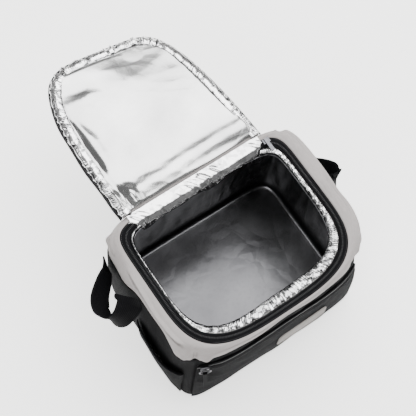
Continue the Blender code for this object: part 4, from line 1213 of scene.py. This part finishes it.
def makePocketZip():
    # zip tape along the pocket's top with the closed coil down its middle
    half = pocket["width"] / 2
    angles = wallStretch("front", -half, half, bag["rim"] / 2, 260)[None]
    low = pocket["top"] * (seamHeight(angles) - bag["gap"] / 2) + bag["gap"]
    share = np.linspace(0, 1, 13)[:, None]
    height = low + share * pocket["zip"]
    thick = 0.0010 + 0.0006 * bell(share, 0.5, 0.2) + 0.0004 * (np.abs(share - 0.5) > 0.36)
    outer = wallAt(angles, height, -bag["seat"] - thick)
    inner = wallAt(angles, height, -bag["seat"])
    made = makeStrip("pocketZip", outer, inner, zipCloth)
    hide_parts("pocket_zip")
    run, along = spaced(outer[6], zipSizes["pitch"])
    slanted = upward(along) + 0.35 * along / np.linalg.norm(along, axis=1, keepdims=True)
    teeth = makeBeads("pocketTeeth", run, slanted, outward(along), (0.0034, 0.0012, 0.0012), blackNylon)


def makePatch():
    # a woven patch with rounded corners and a raised, close-stitched border
    half = patch["width"] / 2
    share = np.linspace(-1, 1, 40)[:, None]
    across = np.linspace(-1, 1, 80)[None]
    pull = (np.abs(across) ** 7 + np.abs(share) ** 7) ** (1 / 7)
    rounded = np.maximum(np.abs(across), np.abs(share)) / np.maximum(pull, 1e-6)
    height = patch["z"] + share * rounded * patch["height"] / 2
    place = patch["x"] + across * rounded * half
    fine = wallStretch("front", patch["x"] - half, patch["x"] + half, patch["z"], 400)
    where = np.interp(place, wallAt(fine, patch["z"])[:, 0], fine)
    base = wallAt(where, height)
    off = 2 * bag["seat"] + pocketPuff(base, where)
    rim = np.maximum(np.abs(across), np.abs(share))
    lift = patch["thick"] * (0.55 + 0.45 * fade(rim, 0.90, 0.93))
    outer = wallAt(where, height, -off - lift * fade(rim, 1.0, 0.985) - 0.0003)
    inner = wallAt(where, height, -off)
    made = makeStrip("wovenPatch", outer, inner, patchCloth)
    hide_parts("patch")


def makeSlipPocket():
    # an open pocket on the left wall: stands off most at the middle of its mouth, hemmed along it
    low = slip["middle"] - slip["length"] / 2
    angles = wallStretch("left", low, low + slip["length"], slip["height"], 120)[None]
    share = np.linspace(0, 1, pocket["rows"])[:, None]
    height = bag["round"] + share * (slip["height"] - bag["round"])
    base = wallAt(angles, height)
    along = np.clip((base[..., 1] - slip["middle"]) / slip["length"], -0.5, 0.5)
    side, up = np.abs(along), height / slip["height"]
    swelling = np.clip(np.cos(math.pi * along), 0, 1) ** 0.6
    off = bag["seat"] + slip["bulge"] * swelling * np.sin(math.pi / 2 * up) ** 0.8
    below = (1 - share) * (slip["height"] - bag["round"])
    hem = slip["hemHigh"] * fade(-below, -slip["hem"], -slip["hem"] + 0.0015) * fade(side, 0.5, 0.46)
    fold = slip["fold"] * ripples(base * [1, 1, 0.5], 0.045, 71) * fade(side, 0.5, 0.4) * fade(share, 0, 0.2)
    face = off + pocket["cloth"] * 0.8 + hem + fold
    outer = wallAt(angles, height, -np.maximum(face, bag["seat"] + pocket["thin"]))
    inner = wallAt(angles, height, -np.maximum(off + np.minimum(fold, 0), bag["seat"]))
    made = makeStrip("slipPocket", outer, inner, blackOxford)
    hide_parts("side_pocket")
    line = outer[int((pocket["rows"] - 1) * (1 - slip["stitched"] / slip["height"]))]
    thread = sew("slipStitches", line, **threads["cloth"], facing=outward, off=0.0001)


makeFrontPocket()
makePocketZip()
makePatch()
makeSlipPocket()
print("pockets made")


# Sliders, ring and strap keep their frame shapes and get their own finishes
for node in ("zip_slider", "zip_pull", "pocket_slider", "pull_ring", "pull_strap"):
    material = zipCloth if node == "pull_strap" else blackNickel
    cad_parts[node].material_slots[0].material = material
print("trim finished")
